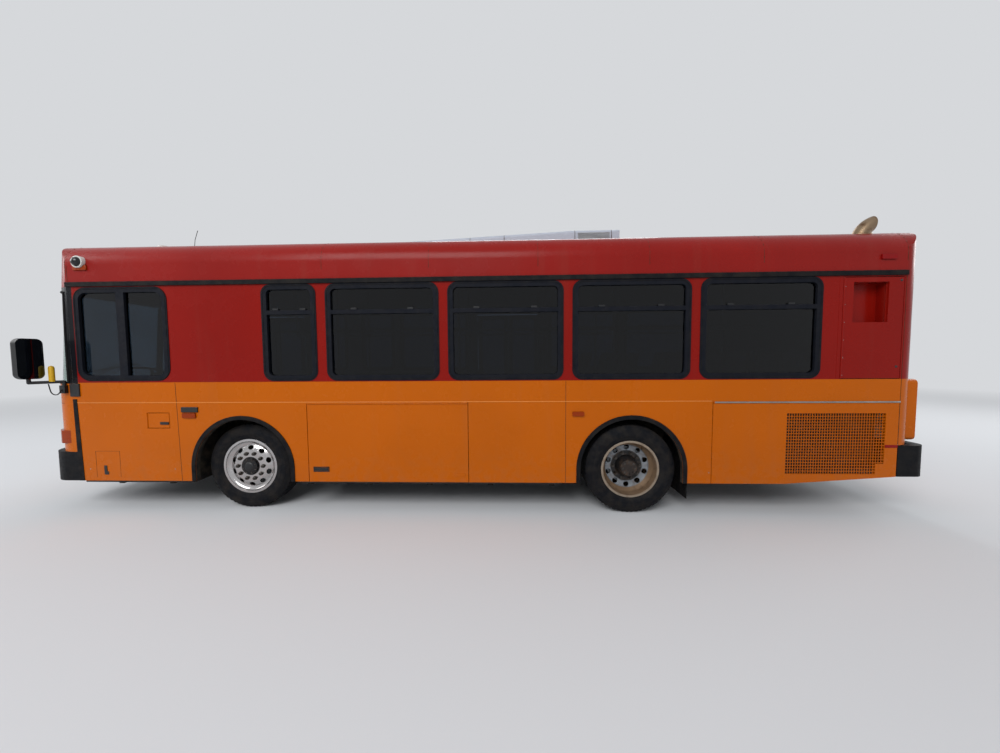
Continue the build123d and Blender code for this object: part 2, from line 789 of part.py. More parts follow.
def radiator():
    """The cooler behind the side grille, with its two tanks, on feet to the cradle."""
    core_y = (cooler_box_y + 50, cooler_box_y + 140)
    tank_y = (core_y[0] - 10, core_y[1] + 10)
    body = block((grille_s[0] + cooler_tank, grille_s[1] - cooler_tank), core_y, cooler_z)
    for s in (grille_s[0], grille_s[1] - cooler_tank):
        body += block((s, s + cooler_tank), tank_y, cooler_z)
    for s in (grille_s[0] + 110, grille_s[1] - 180):
        body += block((s, s + cooler_tank), (cradle_y + touch, tank_y[1]), (cradle_z[1] - 20, cooler_z[0]))
    return body


# Wheels: tyre and rim turned about the axle
tyre_r = 470
rim_r = 302
tyre_wide = 275
rim_wide = 225
front_tyre_y = half_width - 90
rear_tyre_y = half_width - 25
dual_pitch = 311
hub_clear = 0.3
hand_holes = 10


def turned(points, y_face, s):
    """A ring turned about a wheel's axle; points are (inboard of the face, radius)."""
    face = make_face(Polyline(*[(r, -inset) for inset, r in points], close=True))
    place = Plane(origin=(behind(s), y_face, wheel_z), x_dir=(0, 0, 1), z_dir=(-1, 0, 0))
    return revolve(place * face, axis=Axis((behind(s), 0, wheel_z), (0, 1, 0)))


def tyre(y_face, s):
    """A tyre with rounded shoulders; its inner edge seats on the rim."""
    w = tyre_wide
    bead = rim_r - 14
    half = [(25, bead), (25, rim_r + 4), (8, rim_r + 28), (0, 380), (10, 430), (30, 458), (52, tyre_r)]
    other = [(w - inset, r) for inset, r in reversed(half)]
    return turned(half + other, y_face, s)


def rim_barrel(y_face, s):
    """The rim's barrel as a thin turned ring with a flange on each side."""
    lip = (tyre_wide - rim_wide) / 2
    w = tyre_wide
    bead = rim_r - 14 - touch
    skin = 9
    profile = [
        (lip - 8, rim_r), (lip - 1, rim_r), (lip - 1, bead), (lip + 60, bead - 10), (w / 2, bead - 22),
        (w - lip - 60, bead - 10), (w - lip + 1, bead), (w - lip + 1, rim_r), (w - lip + 8, rim_r),
        (w - lip + 8, bead - skin), (w - lip - 60, bead - 10 - skin), (w / 2, bead - 22 - skin),
        (lip + 60, bead - 10 - skin), (lip - 8, bead - skin),
    ]
    return turned(profile, y_face, s)


def hand_hole_cutters(y_face, s, circle_r, long_r, wide_r):
    """Round or oval hand holes on a circle, as cutters along the axle."""
    cutters = []
    for i in range(hand_holes):
        angle = 360 / hand_holes * (i + 0.5)
        place = Plane(origin=(behind(s), y_face + 100, wheel_z), x_dir=(1, 0, 0), z_dir=(0, -1, 0))
        shape = Pos(circle_r * cos(radians(angle)), circle_r * sin(radians(angle))) * Rot(0, 0, angle + 90)
        outline = shape * Ellipse(long_r, wide_r) if long_r > wide_r else shape * Circle(wide_r)
        cutters.append(extrude(place * outline, tyre_wide + 100))
    return cutters


def front_rim():
    """Front rim: convex disc with oval hand holes, hub pad and hub."""
    edge = rim_r - 30
    disc = turned([
        (75, edge), (40, 215), (22, 170), (22, 90), (34, 90), (34, 168), (52, 212), (88, edge),
    ], front_tyre_y, 0)
    hub = turned([
        (22, 95), (0, 88), (-8, 60), (-8, 0), (84, 0),
        (84, spindle_r + touch), (120, spindle_r + touch), (120, 95),
    ], front_tyre_y, 0)
    disc = disc.cut(*hand_hole_cutters(front_tyre_y, 0, 205, 32, 23))
    return rim_barrel(front_tyre_y, 0) + disc + hub


rear_disc_in = 158
spindle_r = 38
drum_end = dual_pitch + 190


def rear_rims():
    """Rear pair of rims on one hub: the outer disc lies deep in its rim."""
    edge = rim_r - 34
    inner_face = rear_tyre_y - dual_pitch
    disc = turned([
        (rear_disc_in - 60, edge), (rear_disc_in - 10, 225), (rear_disc_in, 180), (rear_disc_in, 90),
        (rear_disc_in + 12, 90), (rear_disc_in + 12, 182), (rear_disc_in + 2, 230), (rear_disc_in - 45, edge),
    ], rear_tyre_y, rear_axle_s)
    disc = disc.cut(*hand_hole_cutters(rear_tyre_y, rear_axle_s, 203, 29, 29))
    hub = turned([
        (rear_disc_in, 120), (rear_disc_in - 30, 112), (60, 90), (48, 80), (48, 0), (drum_end - 60, 0),
        (drum_end - 60, spindle_r + touch), (drum_end, spindle_r + touch), (drum_end, 90), (200, 120),
    ], rear_tyre_y, rear_axle_s)
    inner_disc = turned([
        (38, 90), (38, 182), (60, 225), (100, edge), (112, edge), (72, 222), (50, 180), (50, 90),
    ], inner_face, rear_axle_s)
    drum = turned([
        (200, 100), (200, 200), (drum_end, 200), (drum_end, 60),
    ], rear_tyre_y, rear_axle_s)
    outer = rim_barrel(rear_tyre_y, rear_axle_s) + disc + hub
    inner = rim_barrel(inner_face, rear_axle_s) + inner_disc + drum
    return outer + inner


# Front axle and knuckles
kingpin_y = front_tyre_y - 285
eye_r = 45
eye_z = (wheel_z - 52, wheel_z + 52)
beam_wide = 80
beam_z = (215, 295)
lug_z = 46
lug_gap = 1
back_plate_y = (kingpin_y + 60, kingpin_y + 80)


def front_axle():
    """Dropped beam between the two kingpin eyes, with seats for the air springs."""
    beam = make_face(Polyline(
        (280 - kingpin_y, beam_z[0]), (kingpin_y - 280, beam_z[0]), (kingpin_y - 130, eye_z[0] + 8),
        (kingpin_y - 20, eye_z[0]), (kingpin_y - 20, eye_z[1]), (kingpin_y - 150, eye_z[1]),
        (kingpin_y - 320, beam_z[1]), (320 - kingpin_y, beam_z[1]), (150 - kingpin_y, eye_z[1]),
        (20 - kingpin_y, eye_z[1]), (20 - kingpin_y, eye_z[0]), (130 - kingpin_y, eye_z[0] + 8), close=True))
    place = Plane(origin=(behind(0) - beam_wide / 2, 0, 0), x_dir=(0, 1, 0), z_dir=(1, 0, 0))
    body = extrude(place * beam, beam_wide)
    for eye in both(rod((0, kingpin_y, eye_z[0]), (0, kingpin_y, eye_z[1]), eye_r)):
        body += eye
    for pin in both(rod((0, kingpin_y, eye_z[0] - lug_z), (0, kingpin_y, eye_z[1] + lug_z), 18)):
        body += pin
    return body


def knuckle():
    """Left steering knuckle: two lugs on the kingpin, a back plate and the spindle."""
    low = (eye_z[0] - lug_gap - lug_z + 4, eye_z[0] - lug_gap)
    high = (eye_z[1] + lug_gap, eye_z[1] + lug_gap + lug_z - 4)
    body = block((-45, 45), (back_plate_y[0], back_plate_y[1]), (low[0], high[1]))
    for z in (low, high):
        body += rod((0, kingpin_y, z[0]), (0, kingpin_y, z[1]), eye_r)
        body += block((-45, 45), (kingpin_y, back_plate_y[1]), z)
    body += rod((0, back_plate_y[0], wheel_z), (0, front_tyre_y - 120 - touch, wheel_z), 60)
    body += rod((0, back_plate_y[0], wheel_z), (0, front_tyre_y - 84 - touch, wheel_z), spindle_r)
    return body - rod((0, kingpin_y, low[0] - 1), (0, kingpin_y, high[1] + 1), 18 + touch)


spring_half = 405
spring_beam_z = (330, 400)
spring_r = 95
front_spring_r = 64
front_spring_top = 565


def rear_axle():
    """Axle tube with its gear housing, spring beams and air springs."""
    reach = rear_tyre_y - drum_end - touch
    tube_part = rod((rear_axle_s, -reach, wheel_z), (rear_axle_s, reach, wheel_z), 85)
    ball = Pos(behind(rear_axle_s), 0, wheel_z) * Sphere(205)
    nose = rod((rear_axle_s, 0, wheel_z), (rear_axle_s + 420, 0, wheel_z), 75)
    stub = rod((rear_axle_s, -reach - 58, wheel_z), (rear_axle_s, reach + 58, wheel_z), spindle_r)
    body = tube_part + ball + nose + stub
    beam_s = (rear_axle_s - spring_half - 90, rear_axle_s + spring_half + 90)
    for beam in both(block(beam_s, (rail_y, rail_y + rail_wide), spring_beam_z)):
        body += beam
    saddle_z = (spring_beam_z[1] - 10, wheel_z)
    for saddle in both(block((rear_axle_s - 70, rear_axle_s + 70), (rail_y, rail_y + rail_wide), saddle_z)):
        body += saddle
    return body


def air_springs():
    """Rubber air springs between the axles' beams and the frame."""
    springs = []
    rear_z = (spring_beam_z[1] + touch, high_rail_z - touch)
    for s in (rear_axle_s - spring_half, rear_axle_s + spring_half):
        springs.extend(both(bellows(s, rail_y + rail_wide / 2, rear_z, spring_r)))
    front_y = box_y + 80
    plate_z = (front_spring_top - 5, front_spring_top + 5)
    plate = block((-50, 50), (box_y + box_skin + touch, front_y + 50), plate_z)
    front_z = (beam_z[1] + touch, front_spring_top)
    springs.extend(both(bellows(0, front_y, front_z, front_spring_r) + plate))
    return springs


def bellows(s, y, z, radius):
    """One rolling-lobe spring: a wide upper lobe on a narrower piston."""
    middle = (z[0] + z[1]) / 2
    return rod((s, y, z[0]), (s, y, middle), radius * 0.72) + rod((s, y, middle), (s, y, z[1]), radius)


# Passenger doors
door_leaf = 40
door_rail = 70
door_glass = 8
door_skin = 5
shaft_r = 14
shaft_in = 75
shaft_past = 35
jamb_gap = 15
meeting_gap = 10
door_pin_r = 8
arm_half = 13
lug_half = 16
lug_thick = 14
arm_low_z = (floor_z + 9, floor_z + 19)
arm_high_z = (front_leaf_z[1] + 6, front_leaf_z[1] + 20)
shaft_z = (floor_z + touch, 2420)
leaf_wide = (front_door_s[1] - front_door_s[0] - 2 * jamb_gap - meeting_gap) / 2
leaf_mid_s = front_door_s[0] + jamb_gap + leaf_wide / 2
rear_leaf_wide = (rear_door_s[1] - rear_door_s[0] - 2 * door_gap - meeting_gap) / 2
rear_hinge_out = 4
rear_barrel_z = ((500, 620), (1300, 1420), (2150, 2270))


def door_panel(s, y, z):
    """A door leaf: a frame round one tall pane."""
    sheet = side_plate(s, z, y, 12)
    clear_s = (s[0] + door_rail, s[1] - door_rail)
    clear_z = (z[0] + 2 * door_rail, z[1] - door_rail)
    middle = (y[0] + y[1]) / 2
    opening = side_plate(clear_s, clear_z, (y[0] - 1, y[1] + 1), 45)
    glass = side_plate(clear_s, clear_z, (middle - door_glass / 2, middle + door_glass / 2), 45)
    return sheet - opening + glass


def front_door_arm():
    """Front arm of the front door: an upright shaft past the jamb, with an arm below and above the leaf."""
    y = half_width - shaft_in
    s = front_door_s[0] - shaft_past
    body = rod((s, y, shaft_z[0]), (s, y, shaft_z[1]), shaft_r)
    for z in (arm_low_z, arm_high_z):
        body += block((s, leaf_mid_s), (y - arm_half, y + arm_half), z)
        body += rod((leaf_mid_s, y, z[0]), (leaf_mid_s, y, z[1]), arm_half)
    low_pin = (arm_low_z[1] - 1, front_leaf_z[0] + lug_thick - 2)
    high_pin = (front_leaf_z[1] - lug_thick + 2, arm_high_z[0] + 1)
    for z in (low_pin, high_pin):
        body += rod((leaf_mid_s, y, z[0]), (leaf_mid_s, y, z[1]), door_pin_r)
    return mirrored(body)


def front_door_leaf():
    """Front leaf of the front door, hung at its middle between the two arms' pins."""
    s = (front_door_s[0] + jamb_gap, front_door_s[0] + jamb_gap + leaf_wide)
    y = (half_width - door_skin - door_leaf, half_width - door_skin)
    hinge = half_width - shaft_in
    body = door_panel(s, y, front_leaf_z)
    low, high = front_leaf_z
    for z in ((low, low + lug_thick), (high - lug_thick, high)):
        lug = rod((leaf_mid_s, hinge, z[0]), (leaf_mid_s, hinge, z[1]), lug_half)
        lug += block((leaf_mid_s - lug_half, leaf_mid_s + lug_half), (hinge, y[0] + 1), z)
        lug -= rod((leaf_mid_s, hinge, z[0] - 1), (leaf_mid_s, hinge, z[1] + 1), door_pin_r + touch)
        body += lug
    return mirrored(body)


def other_jamb(shape, span):
    """The same door piece at the opening's other jamb."""
    return mirror(shape, about=Plane(origin=(behind((span[0] + span[1]) / 2), 0, 0), z_dir=(1, 0, 0)))


def rear_door_leaf():
    """Front leaf of the rear door, on an upright barrel at its jamb."""
    s = (rear_door_s[0] + door_gap, rear_door_s[0] + door_gap + rear_leaf_wide)
    y = (half_width - door_skin - door_leaf, half_width - door_skin)
    body = door_panel(s, y, rear_leaf_z)
    for z in rear_barrel_z:
        body += rear_door_barrel(z, 0)
    return mirrored(body)


def rear_door_barrel(z, clearance):
    """One short hinge barrel of the rear door, at the left side's skin."""
    s = rear_door_s[0] + door_gap / 2
    y = half_width + rear_hinge_out - door_skin
    return rod((s, y, z[0] - clearance), (s, y, z[1] + clearance), barrel_r + clearance)


# Mirrors
mirror_y = (half_width + 90, half_width + 305)
mirror_z = (1464, 1880)
mirror_s = (-2110, -2030)
mirror_foot_s = (-1960, -1900)
mirror_arm_z = 1425
mirror_arm_r = 16


def mirrors():
    """A mirror each side: a foot on the corner post, a bent arm and a round-edged head."""
    foot = block(mirror_foot_s, (half_width - 40, half_width + 34), (1300, 1385))
    start = ((mirror_foot_s[0] + mirror_foot_s[1]) / 2, half_width + 10, mirror_arm_z)
    end = ((mirror_s[0] + mirror_s[1]) / 2, (mirror_y[0] + mirror_y[1]) / 2, mirror_arm_z)
    arm = rod((start[0], start[1], 1340), start, mirror_arm_r) + rod(start, end, mirror_arm_r)
    arm += rod(end, (end[0], end[1], mirror_z[0] + 20), mirror_arm_r)
    for s, y, z in (start, end):
        arm += Pos(behind(s), y, z) * Sphere(mirror_arm_r)
    head = cross_plate(mirror_s, mirror_y, mirror_z, 55)
    head = fillet(head.faces().sort_by(Axis.X)[-1].edges(), 38)
    glass_y = (mirror_y[0] + 14, mirror_y[1] - 14)
    glass_z = (mirror_z[0] + 14, mirror_z[1] - 14)
    head -= cross_plate((mirror_s[1] - 6, mirror_s[1] + 1), glass_y, glass_z, 44)
    post = foot + arm + head
    post -= front_block(-touch)
    return both(post)


def mirror_glass():
    """The glass of both mirrors, facing rearward."""
    y = (mirror_y[0] + 14 + touch, mirror_y[1] - 14 - touch)
    z = (mirror_z[0] + 14 + touch, mirror_z[1] - 14 - touch)
    return both(cross_plate((mirror_s[1] - 6, mirror_s[1] - 1), y, z, 43))


# Lamps
headlamp_y = (half_width - 605, half_width - 285)
headlamp_z = (950, 1120)
turn_z = (750, 890)


def nose_pad(y, z, out, radius):
    """A pad on the nose that follows its bow, seen from in front as a round-cornered plate."""
    plate = cross_plate((front_corner_s - 200, front_corner_s + 350), y, z, radius)
    return (front_block(-out) - front_block(-touch)) & plate


def headlamps():
    """Square lamp bezels on the nose and wrapped turn lamps below them."""
    bezel = nose_pad(headlamp_y, headlamp_z, 34, 24)
    turn = nose_pad((half_width - 180, half_width + 40), turn_z, 22, 8)
    return both(bezel) + both(turn)


def tail_lamps():
    """Round lamps stacked on the two lamp housings."""
    lamps = []
    y = (engine_door_y + bulge_y) / 2 + 5
    for z in (880, 1030, 1180, 1310):
        lamps.extend(both(rod((bulge_s + touch, y, z), (bulge_s + 22, y, z), 52)))
    return lamps


side_marker_z = (1041, 1088)


def marker_lamps():
    """Small amber and red lamps on the sides, the roof's front edge and the rear."""
    y = (half_width + touch, half_width + 16)
    lamps = []
    middle_s = (rear_axle_s - 612, rear_axle_s - 493)
    rear_s = (rear_seam_s - 262, rear_seam_s - 115)
    for s, z in (((-637, -491), (1027, 1079)), (middle_s, side_marker_z), (rear_s, (2590, 2640))):
        lamps.extend(both(side_plate(s, z, y, 10)))
    for y_mid in (-300, 0, 300):
        lamp_y = (y_mid - 60, y_mid + 60)
        lamps.append(cross_plate((rear_face_s + touch, rear_face_s + 18), lamp_y, (2560, 2590), 10))
    return lamps


# Roof fittings
unit_y = half_width - 515
unit_front_s = 1170
unit_rear_s = unit_front_s + 2970
exhaust_s = rear_seam_s - 230
exhaust_y = half_width - 285
exhaust_r = 75


def roof_unit():
    """Long low roof unit that rises towards the rear, with a slanted front."""
    profile = make_face(Polyline(
        (behind(unit_front_s), roof_top_z - 20), (behind(unit_front_s + 60), roof_top_z + 58),
        (behind(unit_front_s + 1630), roof_top_z + 131), (behind(unit_front_s + 2400), roof_top_z + 172),
        (behind(unit_rear_s), roof_top_z + 174), (behind(unit_rear_s), roof_top_z - 20), close=True))
    side = Plane(origin=(0, unit_y, 0), x_dir=(1, 0, 0), z_dir=(0, -1, 0))
    body = extrude(side * profile, 2 * unit_y)
    crest = [e for e in body.edges() if abs(abs(e.center().Y) - unit_y) < 1 and e.center().Z > 2990]
    body = fillet(crest, 30)
    return body - tube((unit_front_s - 10, unit_rear_s + 10), -touch)


def exhaust_stack():
    """Upright exhaust pipe on a round foot, with a mitred elbow that opens rearward."""
    foot_z = roof_top_z - 95
    knee = roof_top_z + 115
    radius = exhaust_r
    upright = rod((exhaust_s, exhaust_y, foot_z), (exhaust_s, exhaust_y, knee), radius)
    joint = Pos(behind(exhaust_s), exhaust_y, knee) * Sphere(radius)
    mouth = rod((exhaust_s, exhaust_y, knee), (exhaust_s + 150, exhaust_y, knee + 30), radius)
    pipe = upright + joint + mouth
    bore = rod((exhaust_s + 10, exhaust_y, knee + 2), (exhaust_s + 160, exhaust_y, knee + 32), radius - 5)
    foot = rod((exhaust_s, exhaust_y, foot_z), (exhaust_s, exhaust_y, roof_top_z - 13), radius + 22)
    return pipe - bore + foot - rear_and_roof_skin()


def rear_and_roof_skin():
    """The body's outer form near the exhaust, a hair larger."""
    return tube((exhaust_s - 200, exhaust_s + 200), -touch)


def roof_fittings():
    """Camera domes on the covings, an aerial dome and a whip aerial's foot."""
    dome_z = roof_edge_z - 200
    dome = rod((-1670, half_width - 20, dome_z), (-1670, half_width + 34, dome_z), 62)
    dome += Pos(behind(-1670), half_width + 20, dome_z) * Sphere(52)
    dome -= front_block(-touch) + tube((front_seam_s, 0), -touch)
    cap_y = half_width - 395
    whip_y = half_width - 445
    cap = rod((-1120, cap_y, roof_edge_z - 20), (-1120, cap_y, roof_top_z + 35), 55)
    whip = rod((-800, whip_y, roof_edge_z - 20), (-800, whip_y, roof_top_z + 25), 16)
    roof_form = tube((-1500, -300), -touch)
    return both(dome) + [cap - roof_form, whip - roof_form]


# Inside: seats, driver's place, dash, rails and ramp
seat_wide = 430
seat_deep = 420
seat_high = 430
seat_back = 470
seat_rise = 25
seat_lean = 80
seat_under = 20
seat_split = 10
seat_back_out = seat_deep / 2 + seat_lean + 30
pad_thick = 34
cushion_x = 25
back_share = 0.58
leg_head_half = 150
driver_floor_z = 620


def seat_shell(places):
    """A bent seat shell facing +X, its middle at the origin and its seat at the seat height."""
    wide = places * seat_wide + (places - 1) * seat_split
    profile = make_face(Polyline(
        (-seat_deep / 2, seat_high), (seat_deep / 2, seat_high + seat_rise), (seat_deep / 2, seat_high - 10),
        (-seat_deep / 2 - 30, seat_high - 10 - seat_under), (-seat_back_out, seat_high + seat_back),
        (-seat_deep / 2 - seat_lean, seat_high + seat_back), close=True))
    side = Plane(origin=(0, wide / 2, 0), x_dir=(1, 0, 0), z_dir=(0, -1, 0))
    return extrude(side * profile, wide)


def seat_pads(places):
    """The upholstered pads of one seat, each place with a cushion and a back."""
    pads = []
    for i in range(places):
        y = (i - (places - 1) / 2) * (seat_wide + seat_split)
        slope = atan(seat_rise / seat_deep)
        lift = seat_rise * (0.5 + cushion_x / seat_deep) + (pad_thick / 2 + touch) / cos(slope)
        cushion = Rot(0, -degrees(slope), 0) * Box(seat_deep - 60, seat_wide - 50, pad_thick)
        pads.append(Pos(cushion_x, y, seat_high + lift) * cushion)
        lean = atan(seat_lean / seat_back)
        x = -seat_deep / 2 - seat_lean * back_share + (pad_thick / 2 + touch) / cos(lean)
        back = Rot(0, -degrees(lean), 0) * Box(pad_thick, seat_wide - 50, seat_back - 130)
        pads.append(Pos(x, y, seat_high + seat_back * back_share) * back)
    return pads


def seat_leg(drop):
    """A pedestal below one seat; the drop shortens it where it stands on a wheel box."""
    under_slope = seat_under / (seat_deep + 30)
    top = seat_high - 10 - under_slope * (seat_deep / 2 + leg_head_half) - touch
    post = Pos(0, 0, (drop + top) / 2) * Box(70, 110, top - drop)
    foot = Pos(0, 0, drop + 6) * Box(300, 200, 12)
    head = Pos(0, 0, top - 6) * Box(2 * leg_head_half, 320, 12)
    return post + foot + head


# Columns: s, y, floor height, turn about Z, places, height of what it stands on above that floor
platform_top = platform_z[1]
box_step = box_top_z - platform_top
bench_wide = 2 * seat_wide + seat_split
bench_y = inner_y - 35 - bench_wide / 2
side_y = inner_y - 20 - seat_back_out
first_side_s = box_half + 85 + bench_wide / 2
seat_table = [
    (first_side_s, side_y, floor_z, -90, 2, 0), (first_side_s + bench_wide + 20, side_y, floor_z, -90, 2, 0),
    (first_side_s, -side_y, floor_z, 90, 2, 0),
    (first_side_s + (bench_wide + seat_wide) / 2 + 70, -side_y, floor_z, 90, 1, 0),
    (platform_s - 510, bench_y, floor_z, 0, 2, 0), (rear_axle_s + 1595, 0, platform_top, 0, 1, 0),
]
for row_s, on_what in ((-375, box_step), (305, box_step), (955, 0), (1595, 0)):
    for y in (bench_y, -bench_y):
        seat_table.append((rear_axle_s + row_s, y, platform_top, 0, 2, on_what))


def placed(shapes, s, y, z, turn):
    """Shapes moved from the origin to a place in the bus."""
    return [Pos(behind(s), y, z + touch) * Rot(0, 0, turn) * shape for shape in shapes]


def seats():
    """Shells, pads and legs of all passenger seats, as three lists."""
    shells = []
    pads = []
    legs = []
    for s, y, z, turn, places, drop in seat_table:
        shells.extend(placed([seat_shell(places)], s, y, z, turn))
        pads.extend(placed(seat_pads(places), s, y, z, turn))
        legs.extend(placed([seat_leg(drop)], s, y, z, turn))
    return shells, pads, legs


# Driver's place
driver_s = (-1790, -760)
driver_y = 250
driver_seat_s = -1165
driver_seat_y = half_width - 535
cowl_half = 330
column_foot = (-1650, driver_seat_y, 1100)
wheel_centre = (-1470, driver_seat_y, 1440)
wheel_tilt = degrees(atan((wheel_centre[0] - column_foot[0]) / (wheel_centre[2] - column_foot[2])))
wheel_hub_low = 6


def driver_platform():
    """Raised floor of the driver's place and the partition behind it."""
    step = block(driver_s, (driver_y, inner_y - 1), (floor_z + touch, driver_floor_z))
    partition = block((driver_s[1], driver_s[1] + 30), (driver_y, inner_y - 1), (floor_z + touch, 1560))
    return step + partition


def dashboard():
    """Dash below the windscreen, with a raised cowl in front of the driver."""
    form = front_block(wall + touch)
    dash = form & block((-2190, -1850), (675 - half_width, half_width), (cap_low_z + 5, 1120))
    cowl_y = (driver_seat_y - cowl_half, driver_seat_y + cowl_half)
    cowl = form & block((-2000, front_seam_s), cowl_y, (1000, 1270))
    cowl += block((front_seam_s - 1, -1600), cowl_y, (1000, 1240))
    column = rod(column_foot, wheel_centre, 32)
    foot = block((-2060, -1850), (695 - half_width, half_width - 295), (floor_z + touch, 700))
    return dash + cowl + column + foot


def steering_wheel():
    """Large flat steering wheel with three spokes, on the column's end."""
    ring = Torus(235, 15)
    hub = Pos(0, 0, 18 - wheel_hub_low) * Cylinder(48, 36)
    wheel = ring + hub
    for angle in (90, 210, 330):
        wheel += Rot(0, 0, angle) * Pos(120, 0, 8) * Box(240, 30, 12)
    lift = wheel_hub_low + touch
    x = behind(wheel_centre[0]) - lift * sin(radians(wheel_tilt))
    z = wheel_centre[2] + lift * cos(radians(wheel_tilt))
    return Pos(x, wheel_centre[1], z) * Rot(0, -wheel_tilt, 0) * wheel


def driver_seat():
    """Driver's sprung seat: pedestal, cushion, tall back and head rest."""
    x = behind(driver_seat_s)
    base = Pos(x, driver_seat_y, driver_floor_z + touch + 140) * Box(300, 320, 280)
    cushion = Pos(x + 10, driver_seat_y, driver_floor_z + 345) * Box(500, 500, 130)
    back = Pos(x - 260, driver_seat_y, driver_floor_z + 680) * Rot(0, -9, 0) * Box(110, 480, 640)
    head = Pos(x - 318, driver_seat_y, driver_floor_z + 1070) * Rot(0, -9, 0) * Box(90, 280, 170)
    return base + fillet(cushion.edges().filter_by(Axis.Z), 60) + back + head


# Grab rails: long rails under the ceiling and posts from floor to ceiling
grab_r = 16
grab_y = half_width - 795
grab_z = 1990
grab_s = (-420, bulkhead_s - 110)
grab_low_s = (700, platform_s - 1150, platform_s - 90)
grab_high_s = (rear_axle_s + 20, rear_axle_s + 1330)
post_s = [(s, floor_z) for s in grab_low_s] + [(s, platform_top) for s in grab_high_s]


def grab_rails():
    """Two long rails, each with its posts and its end drop to the ceiling."""
    side = rod((grab_s[0], grab_y, grab_z), (grab_s[1], grab_y, grab_z), grab_r)
    ceiling = roof_top_z - 75
    for s, low in post_s:
        side += rod((s, grab_y, low + touch), (s, grab_y, ceiling), grab_r)
    side += rod((grab_s[0], grab_y, grab_z), (grab_s[0], grab_y, ceiling), grab_r)
    side += Pos(behind(grab_s[0]), grab_y, grab_z) * Sphere(grab_r)
    side -= block((grab_s[0] - 50, grab_s[1]), (0, half_width), (roof_top_z - wall - 12, roof_top_z))
    return both(side)


def door_headers():
    """The covers over the doors' operators, above both doorways."""
    reach = shaft_past + shaft_r + 4
    front = (front_door_s[0] - reach, front_door_s[1] + reach)
    headers = []
    for s in (front, rear_door_s):
        cover = block(s, (inner_y - 150, inner_y - touch), (shaft_z[1] + touch, shaft_z[1] + 120))
        headers.append(mirrored(cover))
    return headers


def ramp():
    """Folding ramp, stowed flush in the floor inside the front doorway."""
    s = (ramp_s[0] + touch, ramp_s[1] - touch)
    y = (ramp_y[0] + touch, ramp_y[1] - touch)
    return mirrored(block(s, y, (floor_z - ramp_thick + touch, floor_z)))


def sign_box():
    """Destination sign behind its window in the front cap."""
    form = front_block(wall + touch)
    return form & block((-2120, -1960), (-sign_window_y + 20, sign_window_y - 20), (2450, 2720))


def mudflaps():
    """Rubber flaps behind the rear wheels, hung from their boxes."""
    back = rear_axle_s + box_half - box_skin - touch
    return both(block((back - 8, back), (rear_box_y + 2 * box_skin, inner_y - 5), (150, 700)))


os.makedirs("parts", exist_ok=True)
save("left_wall", left_wall())
save("right_wall", right_wall())
save("roof", roof())
save("front_cap", front_cap())
save("rear_cap", rear_cap())
save("windscreen", windscreen())
save("bumpers", [front_bumper(), rear_bumper()])
save("rails_and_arch_lips", drip_rails() + arch_trims())

left_frames, left_panes = window_sets(left_windows)
driver_frame = window_frame(driver_window_s, driver_window_z, driver_corner_r, driver_divider())
driver_panes = window_panes(driver_window_s, driver_window_z, driver_corner_r, driver_divider())
right_frames, right_panes = window_sets(right_windows)
save("window_frames", left_frames + [driver_frame] + [mirrored(frame) for frame in right_frames])
save("window_panes", left_panes + [driver_panes] + [mirrored(sheet) for sheet in right_panes])

save("battery_door", battery_door())
save("radiator_door", radiator_door())
save("radiator_grille", grille_bars())
save("small_flap", small_flap())
save("upper_side_door", upper_door())
save("engine_door", engine_door())
save("rear_upper_door", rear_upper_door())
save("front_hatch", hatch_lid(hatch_s[0]))
save("rear_hatch", hatch_lid(hatch_s[1]))

save("front_door_arm_front", front_door_arm())
save("front_door_arm_rear", other_jamb(front_door_arm(), front_door_s))
save("front_door_leaf_front", front_door_leaf())
save("front_door_leaf_rear", other_jamb(front_door_leaf(), front_door_s))
save("rear_door_leaf_front", rear_door_leaf())
save("rear_door_leaf_rear", other_jamb(rear_door_leaf(), rear_door_s))

save("floors", [low_floor(), rear_platform(), driver_platform()])
save("wheel_boxes", wheel_boxes())
save("underframe", underframe())
save("engine_block", engine_block())
save("radiator", radiator())
save("front_axle", front_axle())
save("rear_axle", rear_axle())
save("air_springs", air_springs())

save("knuckle_left", knuckle())
save("knuckle_right", mirrored(knuckle()))
front_tyre = tyre(front_tyre_y, 0)
rear_tyres = [tyre(rear_tyre_y, rear_axle_s), tyre(rear_tyre_y - dual_pitch, rear_axle_s)]
save("front_left_tyre", front_tyre)
save("front_right_tyre", mirrored(front_tyre))
save("front_left_rim", front_rim())
save("front_right_rim", mirrored(front_rim()))
save("rear_left_tyres", rear_tyres)
save("rear_right_tyres", [mirrored(ring) for ring in rear_tyres])
save("rear_left_rims", rear_rims())
save("rear_right_rims", mirrored(rear_rims()))

save("mirrors", mirrors() + mirror_glass())
save("lamps", headlamps() + tail_lamps() + marker_lamps())
save("roof_unit", roof_unit())
save("exhaust_stack", exhaust_stack())
save("roof_fittings", roof_fittings())

shells, pads, legs = seats()
save("seat_shells", shells)
save("seat_pads", pads)
save("seat_legs", legs)
save("dashboard", dashboard())
save("steering_wheel", steering_wheel())
save("driver_seat", driver_seat())
save("grab_rails", grab_rails())
save("door_headers", door_headers())
save("ramp", ramp())
save("sign_box", sign_box())
save("mudflaps", mudflaps())
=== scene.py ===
import json
import math

import bmesh
import bpy
from mathutils import Matrix, Vector
from mathutils.bvhtree import BVHTree

